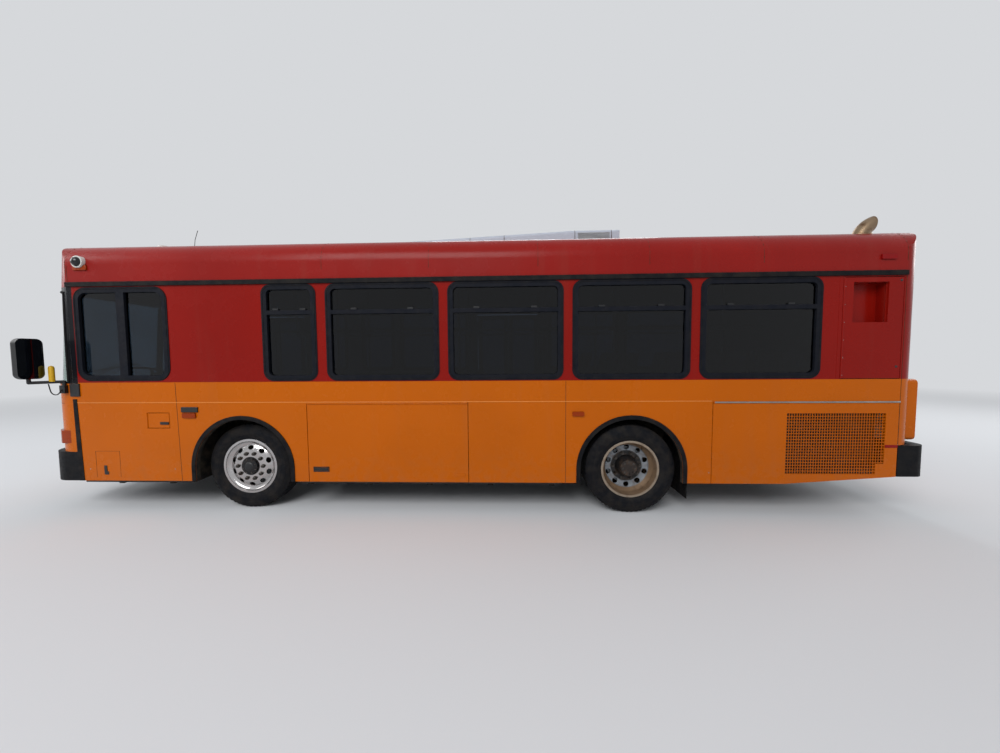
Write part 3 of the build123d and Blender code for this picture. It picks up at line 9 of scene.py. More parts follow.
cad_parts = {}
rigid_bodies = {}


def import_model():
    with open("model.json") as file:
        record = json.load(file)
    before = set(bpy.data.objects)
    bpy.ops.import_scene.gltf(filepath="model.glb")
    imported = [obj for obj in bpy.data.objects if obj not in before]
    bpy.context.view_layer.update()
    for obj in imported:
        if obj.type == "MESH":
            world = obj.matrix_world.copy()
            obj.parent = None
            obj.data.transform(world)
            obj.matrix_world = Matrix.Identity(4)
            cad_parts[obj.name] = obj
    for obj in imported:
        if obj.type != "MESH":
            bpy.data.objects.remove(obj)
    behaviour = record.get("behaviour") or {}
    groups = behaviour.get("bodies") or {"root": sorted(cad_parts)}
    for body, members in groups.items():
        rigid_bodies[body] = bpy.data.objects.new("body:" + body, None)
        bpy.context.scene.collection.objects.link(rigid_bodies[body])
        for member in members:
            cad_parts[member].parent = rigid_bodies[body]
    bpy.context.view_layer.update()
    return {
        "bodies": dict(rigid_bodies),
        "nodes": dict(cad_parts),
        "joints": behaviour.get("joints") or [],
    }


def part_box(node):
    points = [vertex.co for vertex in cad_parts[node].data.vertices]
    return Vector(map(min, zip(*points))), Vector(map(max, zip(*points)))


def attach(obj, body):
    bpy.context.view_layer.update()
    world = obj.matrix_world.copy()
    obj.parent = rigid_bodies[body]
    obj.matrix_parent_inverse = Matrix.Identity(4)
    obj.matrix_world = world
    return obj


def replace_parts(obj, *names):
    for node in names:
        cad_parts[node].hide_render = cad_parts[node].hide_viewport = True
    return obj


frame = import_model()

# Places: s is the distance behind the front axle, y the distance to the left, z the height, in metres
joints = {joint["name"]: joint for joint in frame["joints"]}
front_axle_x = joints["front_left_roll"]["pos_m"][0]
rear_axle_s = front_axle_x - joints["rear_left_roll"]["pos_m"][0]
wheel_z = joints["front_left_roll"]["pos_m"][2]
side_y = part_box("left_wall")[1].y
skirt_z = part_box("battery_door")[0].z
waist_z = joints["battery_door_lift"]["pos_m"][2]
belt_z = 1.411
BODY = "bus_body"
SIDES = (1, -1)
UP = (0, 0, 1)


def spot(s, y, z):
    """A point given by its distance behind the front axle, in metres."""
    return Vector((front_axle_x - s, y, z))


def at_side(low, high, side=1):
    """The y range between two distances outside the walls' face, on the left or right side."""
    return sorted((side * (side_y + low), side * (side_y + high)))


# Meshes
def link(name, data):
    """A new object in the scene."""
    thing = bpy.data.objects.new(name, data)
    bpy.context.scene.collection.objects.link(thing)
    return thing


def mesh_of(shape, name):
    """A mesh from a bmesh, which is freed."""
    mesh = bpy.data.meshes.new(name)
    shape.to_mesh(mesh)
    shape.free()
    return mesh


def evaluated(thing):
    """A plain mesh of an object as its modifiers leave it."""
    graph = bpy.context.evaluated_depsgraph_get()
    graph.update()
    return bpy.data.meshes.new_from_object(thing.evaluated_get(graph))


def mesh_piece(name, mesh, body, material):
    """A mesh as a named piece that rides on a body."""
    piece = link(name, mesh)
    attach(piece, body)
    piece.data.materials.clear()
    piece.data.materials.append(material)
    return piece


def smooth_below(shape, angle):
    """Smooth faces, with edges sharper than an angle kept sharp."""
    for face in shape.faces:
        face.smooth = True
    limit = math.radians(angle)
    for edge in shape.edges:
        if len(edge.link_faces) == 2:
            edge.smooth = edge.calc_face_angle(0) < limit
        else:
            edge.smooth = False


def bevelled(piece, width):
    """Rounds the sharp edges of a piece and keeps its large faces flat to the light."""
    bevel = piece.modifiers.new("rounded_edges", "BEVEL")
    bevel.width = width
    bevel.segments = 2
    bevel.limit_method = "ANGLE"
    bevel.angle_limit = math.radians(35)
    piece.modifiers.new("flat_faces", "WEIGHTED_NORMAL").keep_sharp = True
    return piece


def build(name, shape, material, edge=0.0, smooth=32, body=BODY):
    """A piece from a bmesh, with normals outward, smooth curves and rounded edges."""
    bmesh.ops.remove_doubles(shape, verts=shape.verts, dist=1e-6)
    bmesh.ops.recalc_face_normals(shape, faces=shape.faces)
    smooth_below(shape, smooth)
    piece = mesh_piece(name, mesh_of(shape, name), body, material)
    return bevelled(piece, edge) if edge else piece


def merged(node):
    """A bmesh of a CAD node with its corners joined and its flat faces whole."""
    shape = bmesh.new()
    shape.from_mesh(frame["nodes"][node].data)
    bmesh.ops.remove_doubles(shape, verts=shape.verts, dist=2e-5)
    bmesh.ops.dissolve_limit(shape, angle_limit=math.radians(0.5), verts=shape.verts, edges=shape.edges)
    return shape


def finished(node, material, edge=0.0015, smooth=32, body=None):
    """A CAD node with smooth curves and rounded edges, shown in its place on its own body or the bus's."""
    shape = merged(node)
    smooth_below(shape, smooth)
    name = node + "_finished"
    body = body or (node if node in frame["bodies"] else BODY)
    piece = mesh_piece(name, mesh_of(shape, name), body, material)
    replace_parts(piece, node)
    return bevelled(piece, edge) if edge else piece


def opened(piece, s, y, z):
    """Cuts a box-shaped opening through a piece."""
    shape = bmesh.new()
    add_box(shape, s, y, z)
    bmesh.ops.recalc_face_normals(shape, faces=shape.faces)
    tool = link("opening", mesh_of(shape, "opening"))
    cut = piece.modifiers.new("opening", "BOOLEAN")
    cut.solver = "EXACT"
    cut.object = tool
    mesh = evaluated(piece)
    piece.modifiers.remove(cut)
    piece.data = mesh
    bpy.data.objects.remove(tool)
    return piece


def coloured(piece, *choices):
    """Further materials for the faces that each choice's test of centre and normal picks."""
    for material, test in choices:
        piece.data.materials.append(material)
        place = len(piece.data.materials) - 1
        for face in piece.data.polygons:
            if test(face.center, face.normal):
                face.material_index = place
    return piece


def add_box(shape, s, y, z):
    """Adds a box between two places behind the front axle, two y and two z."""
    y = sorted(y)
    low, high = spot(s[1], y[0], z[0]), spot(s[0], y[1], z[1])
    matrix = Matrix.Translation((low + high) / 2) @ Matrix.Diagonal((*(high - low), 1))
    bmesh.ops.create_cube(shape, size=1, matrix=matrix)


def bridge(shape, rings, loop=True):
    """Adds the faces between each row of corners and the next, round a loop or along a strip."""
    for here, there in zip(rings, rings[1:]):
        for i in range(len(here) - (0 if loop else 1)):
            j = (i + 1) % len(here)
            shape.faces.new((here[i], here[j], there[j], there[i]))


def circle(steps):
    """Even angles round a full turn."""
    return [2 * math.pi * i / steps for i in range(steps)]


def add_turned(shape, centre, axis, profile, steps=32, closed=True):
    """Adds a form turned about an axis, from pairs of place along the axis and radius."""
    axis = Vector(axis).normalized()
    first = axis.orthogonal().normalized()
    second = axis.cross(first)
    rings = []
    for angle in circle(steps):
        out = first * math.cos(angle) + second * math.sin(angle)
        rings.append([shape.verts.new(centre + axis * along + out * radius) for along, radius in profile])
    off_axis = [radius > 1e-7 for _, radius in profile]
    count = len(profile)
    for here, there in zip(rings, rings[1:] + rings[:1]):
        for j in range(count if closed else count - 1):
            k = (j + 1) % count
            if off_axis[j] or off_axis[k]:
                corners = [here[j], here[k]]
                corners += [there[k]] if off_axis[k] else []
                corners += [there[j]] if off_axis[j] else []
                shape.faces.new(corners)


def add_pipe(shape, points, radius, steps=8, ends=True):
    """Adds a round pipe along a line of points."""
    points = [Vector(point) for point in points]
    ways = [(b - a).normalized() for a, b in zip(points, points[1:])]
    side = ways[0].orthogonal().normalized()
    rings = []
    for i, point in enumerate(points):
        before, after = ways[max(i - 1, 0)], ways[min(i, len(ways) - 1)]
        way = (before + after).normalized()
        side = (side - way * side.dot(way)).normalized()
        other = way.cross(side)
        reach = radius / max(0.5, way.dot(after))
        rings.append([shape.verts.new(point + (side * math.cos(t) + other * math.sin(t)) * reach)
                      for t in circle(steps)])
    bridge(shape, rings)
    if ends:
        shape.faces.new(rings[0][::-1])
        shape.faces.new(rings[-1])


def curved(points, steps=6):
    """A smooth line through points."""
    points = [Vector(point) for point in points]
    line = []
    padded = [points[0] * 2 - points[1]] + points + [points[-1] * 2 - points[-2]]
    for a, b, c, d in zip(padded, padded[1:], padded[2:], padded[3:]):
        for t in (i / steps for i in range(steps)):
            bend = (2 * a - 5 * b + 4 * c - d) * t * t + (3 * b - a - 3 * c + d) * t ** 3
            line.append(0.5 * (2 * b + (c - a) * t + bend))
    return line + [points[-1]]


def box_piece(name, rows, material, edge=0.0, body=BODY):
    """A piece of boxes, from rows of s, y and z ranges."""
    shape = bmesh.new()
    for row in rows:
        add_box(shape, *row)
    return build(name, shape, material, edge, body=body)


def pipe_piece(name, lines, radius, material, steps=8, smooth=60, body=BODY):
    """A piece of round pipes, one along each line of points."""
    shape = bmesh.new()
    for line in lines:
        add_pipe(shape, line, radius, steps)
    return build(name, shape, material, smooth=smooth, body=body)


def turned_piece(name, places, profile, material, steps, smooth=50, closed=True, body=BODY):
    """A piece of equal turned forms, each with its own centre and axis."""
    shape = bmesh.new()
    for centre, axis in places:
        add_turned(shape, centre, axis, profile, steps, closed)
    return build(name, shape, material, smooth=smooth, body=body)


def copies_group():
    """A node group that sets a copy of an object on every point, turned by the point's own angles."""
    group = bpy.data.node_groups.new("copies_on_points", "GeometryNodeTree")
    for name, way, kind in (("Geometry", "INPUT", "Geometry"), ("Part", "INPUT", "Object"),
                            ("Finish", "INPUT", "Material"), ("Geometry", "OUTPUT", "Geometry")):
        group.interface.new_socket(name, in_out=way, socket_type="NodeSocket" + kind)
    start, end, part, turn, copy, real, coat = (group.nodes.new(kind) for kind in (
        "NodeGroupInput", "NodeGroupOutput", "GeometryNodeObjectInfo", "GeometryNodeInputNamedAttribute",
        "GeometryNodeInstanceOnPoints", "GeometryNodeRealizeInstances", "GeometryNodeSetMaterial"))
    turn.data_type = "FLOAT_VECTOR"
    turn.inputs["Name"].default_value = "turn"
    for source, output, target, entry in (
        (start, "Part", part, "Object"), (start, "Geometry", copy, "Points"), (part, "Geometry", copy, "Instance"),
        (turn, "Attribute", copy, "Rotation"), (copy, "Instances", real, "Geometry"),
        (real, "Geometry", coat, "Geometry"), (start, "Finish", coat, "Material"), (coat, "Geometry", end, "Geometry"),
    ):
        group.links.new(source.outputs[output], target.inputs[entry])
    return group


COPIES = copies_group()


def copies(name, shape, places, material, body=BODY):
    """One piece with a copy of a small bmesh at each place, given as a matrix."""
    bmesh.ops.recalc_face_normals(shape, faces=shape.faces)
    smooth_below(shape, 40)
    part = bpy.data.objects.new(name + "_part", mesh_of(shape, name + "_part"))
    points = bpy.data.meshes.new(name + "_points")
    points.from_pydata([place.translation for place in places], [], [])
    turn = points.attributes.new("turn", "FLOAT_VECTOR", "POINT")
    for i, place in enumerate(places):
        turn.data[i].vector = place.to_euler()
    carrier = link(name + "_points", points)
    modifier = carrier.modifiers.new("copies", "NODES")
    modifier.node_group = COPIES
    for item in COPIES.interface.items_tree:
        if item.in_out == "INPUT" and item.name in ("Part", "Finish"):
            modifier[item.identifier] = part if item.name == "Part" else material
    mesh = evaluated(carrier)
    mesh.name = name
    bpy.data.objects.remove(carrier)
    bpy.data.objects.remove(part)
    return mesh_piece(name, mesh, body, material)


def dome(radius, height, steps=10):
    """A small rivet head on the XY plane, facing +Z."""
    shape = bmesh.new()
    profile = [(0, radius), (height * 0.55, radius * 0.86), (height * 0.9, radius * 0.5), (height, 0)]
    add_turned(shape, Vector(), UP, profile, steps, closed=False)
    return shape


def hexagon(radius, height):
    """A hexagon nut on a round washer, facing +Z."""
    shape = bmesh.new()
    washer, rise = radius * 1.25, height * 0.2
    add_turned(shape, Vector(), UP, [(0, washer), (rise, washer), (rise, 0)], 20, closed=False)
    nut = [(rise, radius), (height * 0.9, radius), (height, radius * 0.84), (height, radius * 0.5),
           (height * 1.25, radius * 0.46), (height * 1.25, 0)]
    add_turned(shape, Vector(), UP, nut, 6, closed=False)
    return shape


def facing(place, way):
    """The place of a copy whose +Z points along a way."""
    return Matrix.Translation(place) @ Vector(way).to_track_quat("Z", "Y").to_matrix().to_4x4()


# Materials
class Finish:
    """One procedural material, built by short calls; patterns read Object coordinates."""

    def __init__(self, name):
        """Starts from a plain shader, with the place and its three axes at hand."""
        self.material = bpy.data.materials.new(name)
        self.material.use_nodes = True
        self.tree = self.material.node_tree
        self.shader = self.tree.nodes["Principled BSDF"]
        self.place = self.add("ShaderNodeTexCoord").outputs["Object"]
        self.axes = self.add("ShaderNodeSeparateXYZ", Vector=self.place).outputs

    def add(self, kind, settings=(), **inputs):
        """A node with its settings and inputs, each input a value or another node's output."""
        node = self.tree.nodes.new(kind)
        for key, value in dict(settings).items():
            setattr(node, key, value)
        for key, value in inputs.items():
            self.feed(node.inputs[key.replace("_", " ")], value)
        return node

    def feed(self, socket, value):
        """Gives a socket a value or a link."""
        if isinstance(value, bpy.types.NodeSocket):
            self.tree.links.new(value, socket)
        elif socket.type == "RGBA" and len(value) == 3:
            socket.default_value = (*value, 1)
        else:
            socket.default_value = value

    def noise(self, scale, detail=3, stretch=(1, 1, 1)):
        """Soft noise from 0 to 1, with a scale per metre that may differ along each axis."""
        where = self.add("ShaderNodeMapping", Vector=self.place, Scale=stretch).outputs["Vector"]
        return self.add("ShaderNodeTexNoise", Vector=where, Scale=scale, Detail=detail).outputs["Fac"]

    def waves(self, scale, direction):
        """Even bands along one axis."""
        settings = {"bands_direction": direction}
        return self.add("ShaderNodeTexWave", settings, Vector=self.place, Scale=scale).outputs["Fac"]

    def calc(self, operation, first, second=0.0):
        """One step of arithmetic on numbers."""
        node = self.add("ShaderNodeMath", {"operation": operation})
        self.feed(node.inputs[0], first)
        self.feed(node.inputs[1], second)
        return node.outputs["Value"]

    def spread(self, value, low, high, start=0.0, end=1.0):
        """A value carried from the range low to high into start to end, and held there."""
        return self.add("ShaderNodeMapRange", Value=value, From_Min=low, From_Max=high, To_Min=start,
                        To_Max=end).outputs["Result"]

    def within(self, axis, low, high, soft=0.0008):
        """One between two places along an axis and zero outside."""
        rise = self.spread(self.axes[axis], low - soft, low + soft)
        fall = self.spread(self.axes[axis], high - soft, high + soft, 1.0, 0.0)
        return self.calc("MULTIPLY", rise, fall)

    def mix(self, share, first, second):
        """One colour turning into another."""
        node = self.add("ShaderNodeMix", {"data_type": "RGBA"})
        self.feed(node.inputs["Factor"], share)
        self.feed([i for i in node.inputs if i.name == "A" and i.type == "RGBA"][0], first)
        self.feed([i for i in node.inputs if i.name == "B" and i.type == "RGBA"][0], second)
        return [o for o in node.outputs if o.type == "RGBA"][0]

    def bump(self, *layers):
        """Surface relief from pairs of a height value and its depth in metres."""
        normal = None
        for height, depth in layers:
            node = self.add("ShaderNodeBump", Height=height, Distance=depth)
            if normal is not None:
                self.feed(node.inputs["Normal"], normal)
            normal = node.outputs["Normal"]
        self.feed(self.shader.inputs["Normal"], normal)

    def set(self, **inputs):
        """Values or links on the shader's own sockets."""
        for key, value in inputs.items():
            self.feed(self.shader.inputs[key.replace("_", " ")], value)
        return self.material


def linear(red, green, blue):
    """A colour from its usual 0 to 255 values."""
    def curve(value):
        """One channel, by the usual screen curve."""
        value /= 255
        return value / 12.92 if value <= 0.04045 else ((value + 0.055) / 1.055) ** 2.4
    return (curve(red), curve(green), curve(blue))


ORANGE = linear(189, 92, 0)
RED = linear(134, 17, 8)
RED_HIGH = linear(140, 27, 22)
DUST = linear(120, 106, 88)
PILLAR_BLACK = linear(17, 18, 22)
pillar_x = front_axle_x + 1.787
pillar_z = (1.402, 2.436)


def body_paint(name, split_z=belt_z, upper=RED, dusty=True, pillars=False):
    """Two-colour coach paint with orange peel, faint grime low down, rain streaks and black front pillars."""
    paint = Finish(name)
    above = paint.spread(paint.axes["Z"], split_z - 0.0008, split_z + 0.0008)
    drift = paint.spread(paint.noise(1.3, 2), 0.35, 0.7)
    low_shade = paint.mix(drift, ORANGE, tuple(c * 0.93 for c in ORANGE))
    high_shade = paint.mix(drift, upper, tuple(c * 0.9 for c in upper))
    colour = paint.mix(above, low_shade, high_shade)
    if pillars:
        ahead = paint.spread(paint.axes["X"], pillar_x - 0.0008, pillar_x + 0.0008)
        pillar = paint.calc("MULTIPLY", ahead, paint.within("Z", *pillar_z))
        colour = paint.mix(pillar, colour, PILLAR_BLACK)
    streaks = paint.spread(paint.noise(9, 4, (1, 1, 0.06)), 0.55, 0.85, 0.0, 0.06)
    colour = paint.mix(streaks, colour, DUST)
    rough = paint.spread(paint.noise(5, 5), 0.3, 0.8, 0.20, 0.34)
    if dusty:
        low_down = paint.spread(paint.axes["Z"], skirt_z, skirt_z + 0.42, 1.0, 0.0)
        patch = paint.spread(paint.noise(14, 5), 0.38, 0.78)
        grime = paint.calc("MULTIPLY", paint.calc("MULTIPLY", low_down, patch), 0.14)
        colour = paint.mix(grime, colour, DUST)
        rough = paint.calc("ADD", rough, paint.calc("MULTIPLY", grime, 0.9))
    paint.bump((paint.noise(420, 2), 0.00004), (paint.noise(2.2, 1), 0.0012))
    return paint.set(Base_Color=colour, Roughness=rough, Specular_IOR_Level=0.14)


def metal(name, colour, rough=(0.25, 0.45), grain=80, stretch=(1, 1, 1), stain=None, metallic=1.0):
    """Bare or plated metal with uneven polish and, where given, stains."""
    surface = Finish(name)
    cloud = surface.noise(grain, 5, stretch)
    shade = surface.mix(surface.spread(surface.noise(7, 4), 0.3, 0.75), colour, tuple(c * 0.72 for c in colour))
    if stain:
        patches = surface.spread(surface.noise(16, 6), 0.5, 0.72)
        shade = surface.mix(patches, shade, stain)
    surface.bump((cloud, 0.00008))
    return surface.set(Base_Color=shade, Roughness=surface.spread(cloud, 0.2, 0.8, *rough), Metallic=metallic)


def rubber(name, colour=linear(17, 17, 20), rough=(0.55, 0.8), dust=0.08, grain=260):
    """Black rubber or textured plastic with a dusty bloom."""
    surface = Finish(name)
    cloud = surface.spread(surface.noise(11, 6), 0.4, 0.8)
    shade = surface.mix(surface.calc("MULTIPLY", cloud, dust), colour, DUST)
    surface.bump((surface.noise(grain, 3), 0.00025))
    return surface.set(Base_Color=shade, Roughness=surface.spread(surface.noise(35, 3), 0.3, 0.7, *rough),
                       Specular_IOR_Level=0.12)


def plastic(name, colour, rough=(0.3, 0.5), grain=500, depth=0.0001, wear=0.12):
    """Moulded plastic with a fine grain and light scuffs."""
    surface = Finish(name)
    scuffs = surface.spread(surface.noise(24, 6, (1, 1, 3)), 0.5, 0.85)
    pale = tuple(min(1, c * 1.5 + 0.03) for c in colour)
    surface.bump((surface.noise(grain, 2), depth))
    return surface.set(Base_Color=surface.mix(surface.calc("MULTIPLY", scuffs, wear), colour, pale),
                       Roughness=surface.spread(surface.noise(40, 3), 0.3, 0.7, *rough))


def tinted_glass(name, tint, rough=0.02, index=1.45):
    """Tinted safety glass with faint smears."""
    glass = Finish(name)
    smear = glass.spread(glass.noise(6, 5, (1, 1, 0.4)), 0.45, 0.8, rough, rough + 0.04)
    colour = glass.mix(glass.spread(glass.noise(2, 2), 0.3, 0.7), tint, tuple(c * 0.85 for c in tint))
    glass.bump((glass.noise(1.7, 1), 0.0006))
    return glass.set(Base_Color=colour, Roughness=smear, Transmission_Weight=1.0, IOR=index)


def lens(name, colour):
    """Moulded lamp lens: coloured clear plastic over fine ribs, its colour darkened along the ribs as painted shade."""
    clear = Finish(name)
    ribs = clear.waves(34, "Z")
    clear.bump((ribs, 0.0009), (clear.noise(300, 2), 0.00006))
    # Painted shade: the colour darkens with the rib pattern, as if the grooves were shaded.
    shade = clear.mix(clear.spread(ribs, 0.2, 0.9), colour, tuple(c * 0.55 for c in colour))
    return clear.set(Base_Color=shade, Roughness=clear.spread(clear.noise(30, 3), 0.3, 0.7, 0.12, 0.28),
                     Specular_IOR_Level=0.15, Coat_Weight=0.05, Coat_Roughness=0.05)


def cloth(name, colour, second):
    """Woven seat fabric: crossing threads over a mottled colour."""
    weave, scale = Finish(name), 900
    warp, weft, rise = (weave.waves(scale, axis) for axis in "XYZ")
    threads = weave.calc("MULTIPLY", weave.calc("ADD", warp, weft), weave.calc("ADD", rise, 0.4))
    fleck = weave.spread(weave.noise(160, 3), 0.45, 0.62)
    weave.bump((threads, 0.0005))
    return weave.set(Base_Color=weave.mix(fleck, colour, second), Roughness=weave.spread(threads, 0, 2, 0.95, 0.75),
                     Sheen_Weight=0.3)


def wheel_metal(name, axle_s, bands, rough, metallic, stain):
    """Wheel metal in rings: each band is an outer radius, a colour, how soft its edge is and its share of metal."""
    surface = Finish(name)
    across = surface.calc("SUBTRACT", surface.axes["X"], front_axle_x - axle_s)
    upward = surface.calc("SUBTRACT", surface.axes["Z"], wheel_z)
    square = surface.calc("ADD", surface.calc("MULTIPLY", across, across), surface.calc("MULTIPLY", upward, upward))
    radius = surface.calc("SQRT", square)
    _, colour, _, shine = bands[0]
    for (edge, _, soft, _), (_, outer, _, outer_shine) in zip(bands, bands[1:]):
        share = surface.spread(radius, edge - soft, edge + soft)
        colour = surface.mix(share, colour, outer)
        shine = surface.calc("ADD", surface.calc("MULTIPLY", surface.calc("SUBTRACT", 1.0, share), shine),
                             surface.calc("MULTIPLY", share, outer_shine))
    patches = surface.spread(surface.noise(18, 6), 0.48, 0.72, 0.0, stain)
    colour = surface.mix(patches, colour, linear(92, 72, 56))
    cloud = surface.noise(70, 5)
    surface.bump((cloud, 0.00008))
    return surface.set(Base_Color=colour, Roughness=surface.spread(cloud, 0.2, 0.8, *rough),
                       Metallic=surface.calc("MULTIPLY", shine, metallic))


PAINT = body_paint("coach_paint", pillars=True)
ROOF_PAINT = body_paint("roof_paint", upper=RED_HIGH, dusty=False)
ORANGE_PAINT = body_paint("orange_paint", split_z=9.0)
BLACK_RUBBER = rubber("black_rubber")
FRAME_RUBBER = rubber("window_rubber", linear(17, 20, 28), dust=0.03)
BUMPER_PLASTIC = rubber("bumper_plastic", linear(12, 13, 17), rough=(0.42, 0.62), dust=0.04, grain=340)
BLACK_PLASTIC = plastic("black_plastic", linear(15, 16, 19))
CHASSIS = rubber("chassis_paint", linear(34, 33, 32), rough=(0.5, 0.85), dust=0.4, grain=60)
CAST = metal("cast_steel", linear(74, 68, 62), rough=(0.55, 0.8), grain=120, stain=linear(82, 58, 42), metallic=0.6)
ALLOY = wheel_metal("polished_alloy", 0, (
    # outer radius, colour, softness, share of metal
    (0.1025, linear(18, 18, 21), 0.0015, 0.3), (0.30, linear(186, 183, 182), 0.002, 1.0),
), (0.12, 0.26), 1.0, 0.12)
WHEEL_STEEL_PAINTED_SHADE = wheel_metal("painted_wheel", rear_axle_s, (
    # The two inner bands are painted shade: the hub and the nut pad, deep in the dish, coloured near black as if
    # shaded. The bronze band is rust on the barrel.
    (0.090, linear(38, 30, 26), 0.004, 0.4), (0.168, linear(24, 23, 24), 0.006, 0.3),
    (0.234, linear(134, 140, 146), 0.003, 0.6), (0.281, linear(128, 104, 80), 0.006, 0.5),
    (0.31, linear(150, 136, 120), 0.003, 0.7),
), (0.34, 0.6), 0.7, 0.55)
TYRE = rubber("tyre_rubber", linear(18, 19, 23), rough=(0.6, 0.85), dust=0.10, grain=420)
TUBE_STEEL = metal("brushed_tube", linear(176, 176, 172), rough=(0.2, 0.36), grain=120, stretch=(1, 1, 0.05))
UNIT_PAINT = plastic("roof_unit_paint", linear(176, 182, 194), rough=(0.4, 0.6), wear=0.3)
EXHAUST = metal("heated_steel", linear(150, 128, 104), rough=(0.3, 0.55), grain=40, stain=linear(106, 78, 56))
TINT = tinted_glass("tinted_glass", linear(44, 55, 70), index=1.36)
CLEAR = tinted_glass("clear_glass", linear(196, 212, 208))
FLOOR_RUBBER = rubber("floor_rubber", linear(60, 61, 64), rough=(0.5, 0.7), dust=0.3, grain=200)
LINING = plastic("lining_panel", linear(172, 174, 172), rough=(0.4, 0.6))
SHELL_PLASTIC = plastic("seat_shell", linear(64, 69, 76), rough=(0.4, 0.6))
SEAT_CLOTH = cloth("seat_cloth", linear(36, 64, 92), linear(66, 92, 116))
DRIVER_CLOTH = cloth("driver_cloth", linear(34, 36, 40), linear(58, 60, 66))
DASH = plastic("dash_plastic", linear(58, 60, 63), rough=(0.5, 0.7), depth=0.0003)
AMBER = lens("amber_lens", linear(158, 56, 2))
RED_LENS = lens("red_lens", linear(150, 8, 10))
MIRROR_GLASS = metal("mirror_glass", linear(92, 98, 108), rough=(0.02, 0.05), grain=4)
ENGINE = metal("engine_paint", linear(78, 80, 80), rough=(0.5, 0.75), grain=60, stain=linear(50, 42, 36), metallic=0.4)
COOLER = metal("cooler_fins", linear(64, 62, 58), rough=(0.45, 0.7), grain=200, stain=linear(88, 76, 60))
WHITE_PLASTIC = plastic("white_plastic", linear(206, 206, 202), wear=0.4)
DARK_LENS = plastic("dark_lens", linear(12, 13, 16), rough=(0.08, 0.16), wear=0.03)
DOOR_PAINT = plastic("door_frame_paint", linear(27, 28, 31), rough=(0.25, 0.4), wear=0.2)
SEALANT = rubber("panel_sealant", linear(62, 40, 26), dust=0.3)
BARE_STEEL = metal("bare_steel", linear(168, 168, 166), rough=(0.3, 0.5), grain=140)
YELLOW = plastic("yellow_plastic", linear(214, 168, 20))
# Lighter orange for the waist lap edges: a painted highlight along the edge, over light scuffs.
PAINTED_HIGHLIGHT_EDGE = plastic("worn_paint_edge", linear(214, 132, 52), wear=0.3)
CHROME = metal("lamp_reflector", linear(214, 216, 220), rough=(0.05, 0.14), grain=30)
HEAD_LENS = tinted_glass("headlamp_glass", linear(236, 240, 242), rough=0.03)
NUT_STEEL = metal("wheel_nuts", linear(92, 88, 84), rough=(0.3, 0.5), stain=linear(50, 42, 36))
WELT = rubber("seat_welt", linear(24, 26, 30), dust=0.1)


# Shell: walls, roof and ends, painted outside and lined inside
cabin_x = (front_axle_x - 1.0, front_axle_x - rear_axle_s - 1.8)
arch_reach = 0.60
arch_top_z = 1.06


def faces_wall_inside(centre, normal):
    """True for a wall's inner face."""
    return abs(centre.y) < side_y - 0.05 and normal.y * centre.y < -0.2


def faces_cabin(centre, normal):
    """True for faces that look towards the cabin's long middle line."""
    line_x = min(max(centre.x, cabin_x[1]), cabin_x[0])
    return normal.dot(centre - Vector((line_x, 0, 1.6))) < -0.05


def faces_arch(centre, normal):
    """True for a wall's cut edges and inner face round the wheels and below the floor."""
    near_wheel = min(abs(centre.x - front_axle_x), abs(centre.x - front_axle_x + rear_axle_s)) < arch_reach
    below = centre.z < skirt_z + 0.045 or (near_wheel and centre.z < arch_top_z)
    return below and abs(centre.y) < side_y - 0.0005 and normal.y * centre.y < 0.5 * abs(centre.y)


def faces_wheel(centre, normal):
    """True for the inner skin of a wheel box, which the wheel's spray reaches."""
    middle_x = front_axle_x if centre.x > 0.2 else front_axle_x - rear_axle_s
    return normal.dot(Vector((middle_x, math.copysign(side_y, centre.y), wheel_z)) - centre) > 0


def is_door_glass(centre, normal):
    """True for the two faces of a door leaf's pane."""
    return abs(normal.y) > 0.9 and 1.2 < centre.z < 1.7 and -1.28 < centre.y < -1.26


# The air intake at the rear: an opening through the upper side door and the wall, with a duct behind it
intake_s = (front_axle_x - joints["upper_side_door_turn"]["pos_m"][0] + 0.092,
            front_axle_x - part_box("upper_side_door")[0].x - 0.147)
intake_z = (1.976, 2.373)
intake_deep = 0.125
cut_y = at_side(-0.1, 0.05)
clear = 0.002

left_wall = opened(finished("left_wall", PAINT, edge=0), intake_s, cut_y, intake_z)
right_wall = finished("right_wall", PAINT, edge=0)
for wall in (left_wall, right_wall):
    coloured(bevelled(wall, 0.0015), (CHASSIS, faces_arch), (LINING, faces_wall_inside))
coloured(finished("roof", ROOF_PAINT), (LINING, faces_cabin))
for cap in ("front_cap", "rear_cap"):
    coloured(finished(cap, PAINT, edge=0.003), (LINING, faces_cabin))
upper_door = finished("upper_side_door", PAINT, edge=0)
bevelled(opened(upper_door, (intake_s[0] + clear, intake_s[1] - clear), cut_y,
                (intake_z[0] + clear, intake_z[1] - clear)), 0.002)
finished("radiator_grille", ORANGE_PAINT, edge=0.0008, body="radiator_door")
finished("grab_rails", TUBE_STEEL, edge=0, smooth=42)
for name in ("left", "right"):
    finished(f"front_{name}_rim", ALLOY, edge=0.0025, smooth=42, body=f"front_{name}_wheel")
    finished(f"rear_{name}_rims", WHEEL_STEEL_PAINTED_SHADE, edge=0.0025, smooth=42, body=f"rear_{name}_wheels")
coloured(finished("wheel_boxes", LINING, edge=0.004), (CHASSIS, faces_wheel))
for leaf in ("front_door_leaf_front", "rear_door_leaf_front", "front_door_leaf_rear", "rear_door_leaf_rear"):
    coloured(finished(leaf, DOOR_PAINT, edge=0.002), (TINT, is_door_glass))

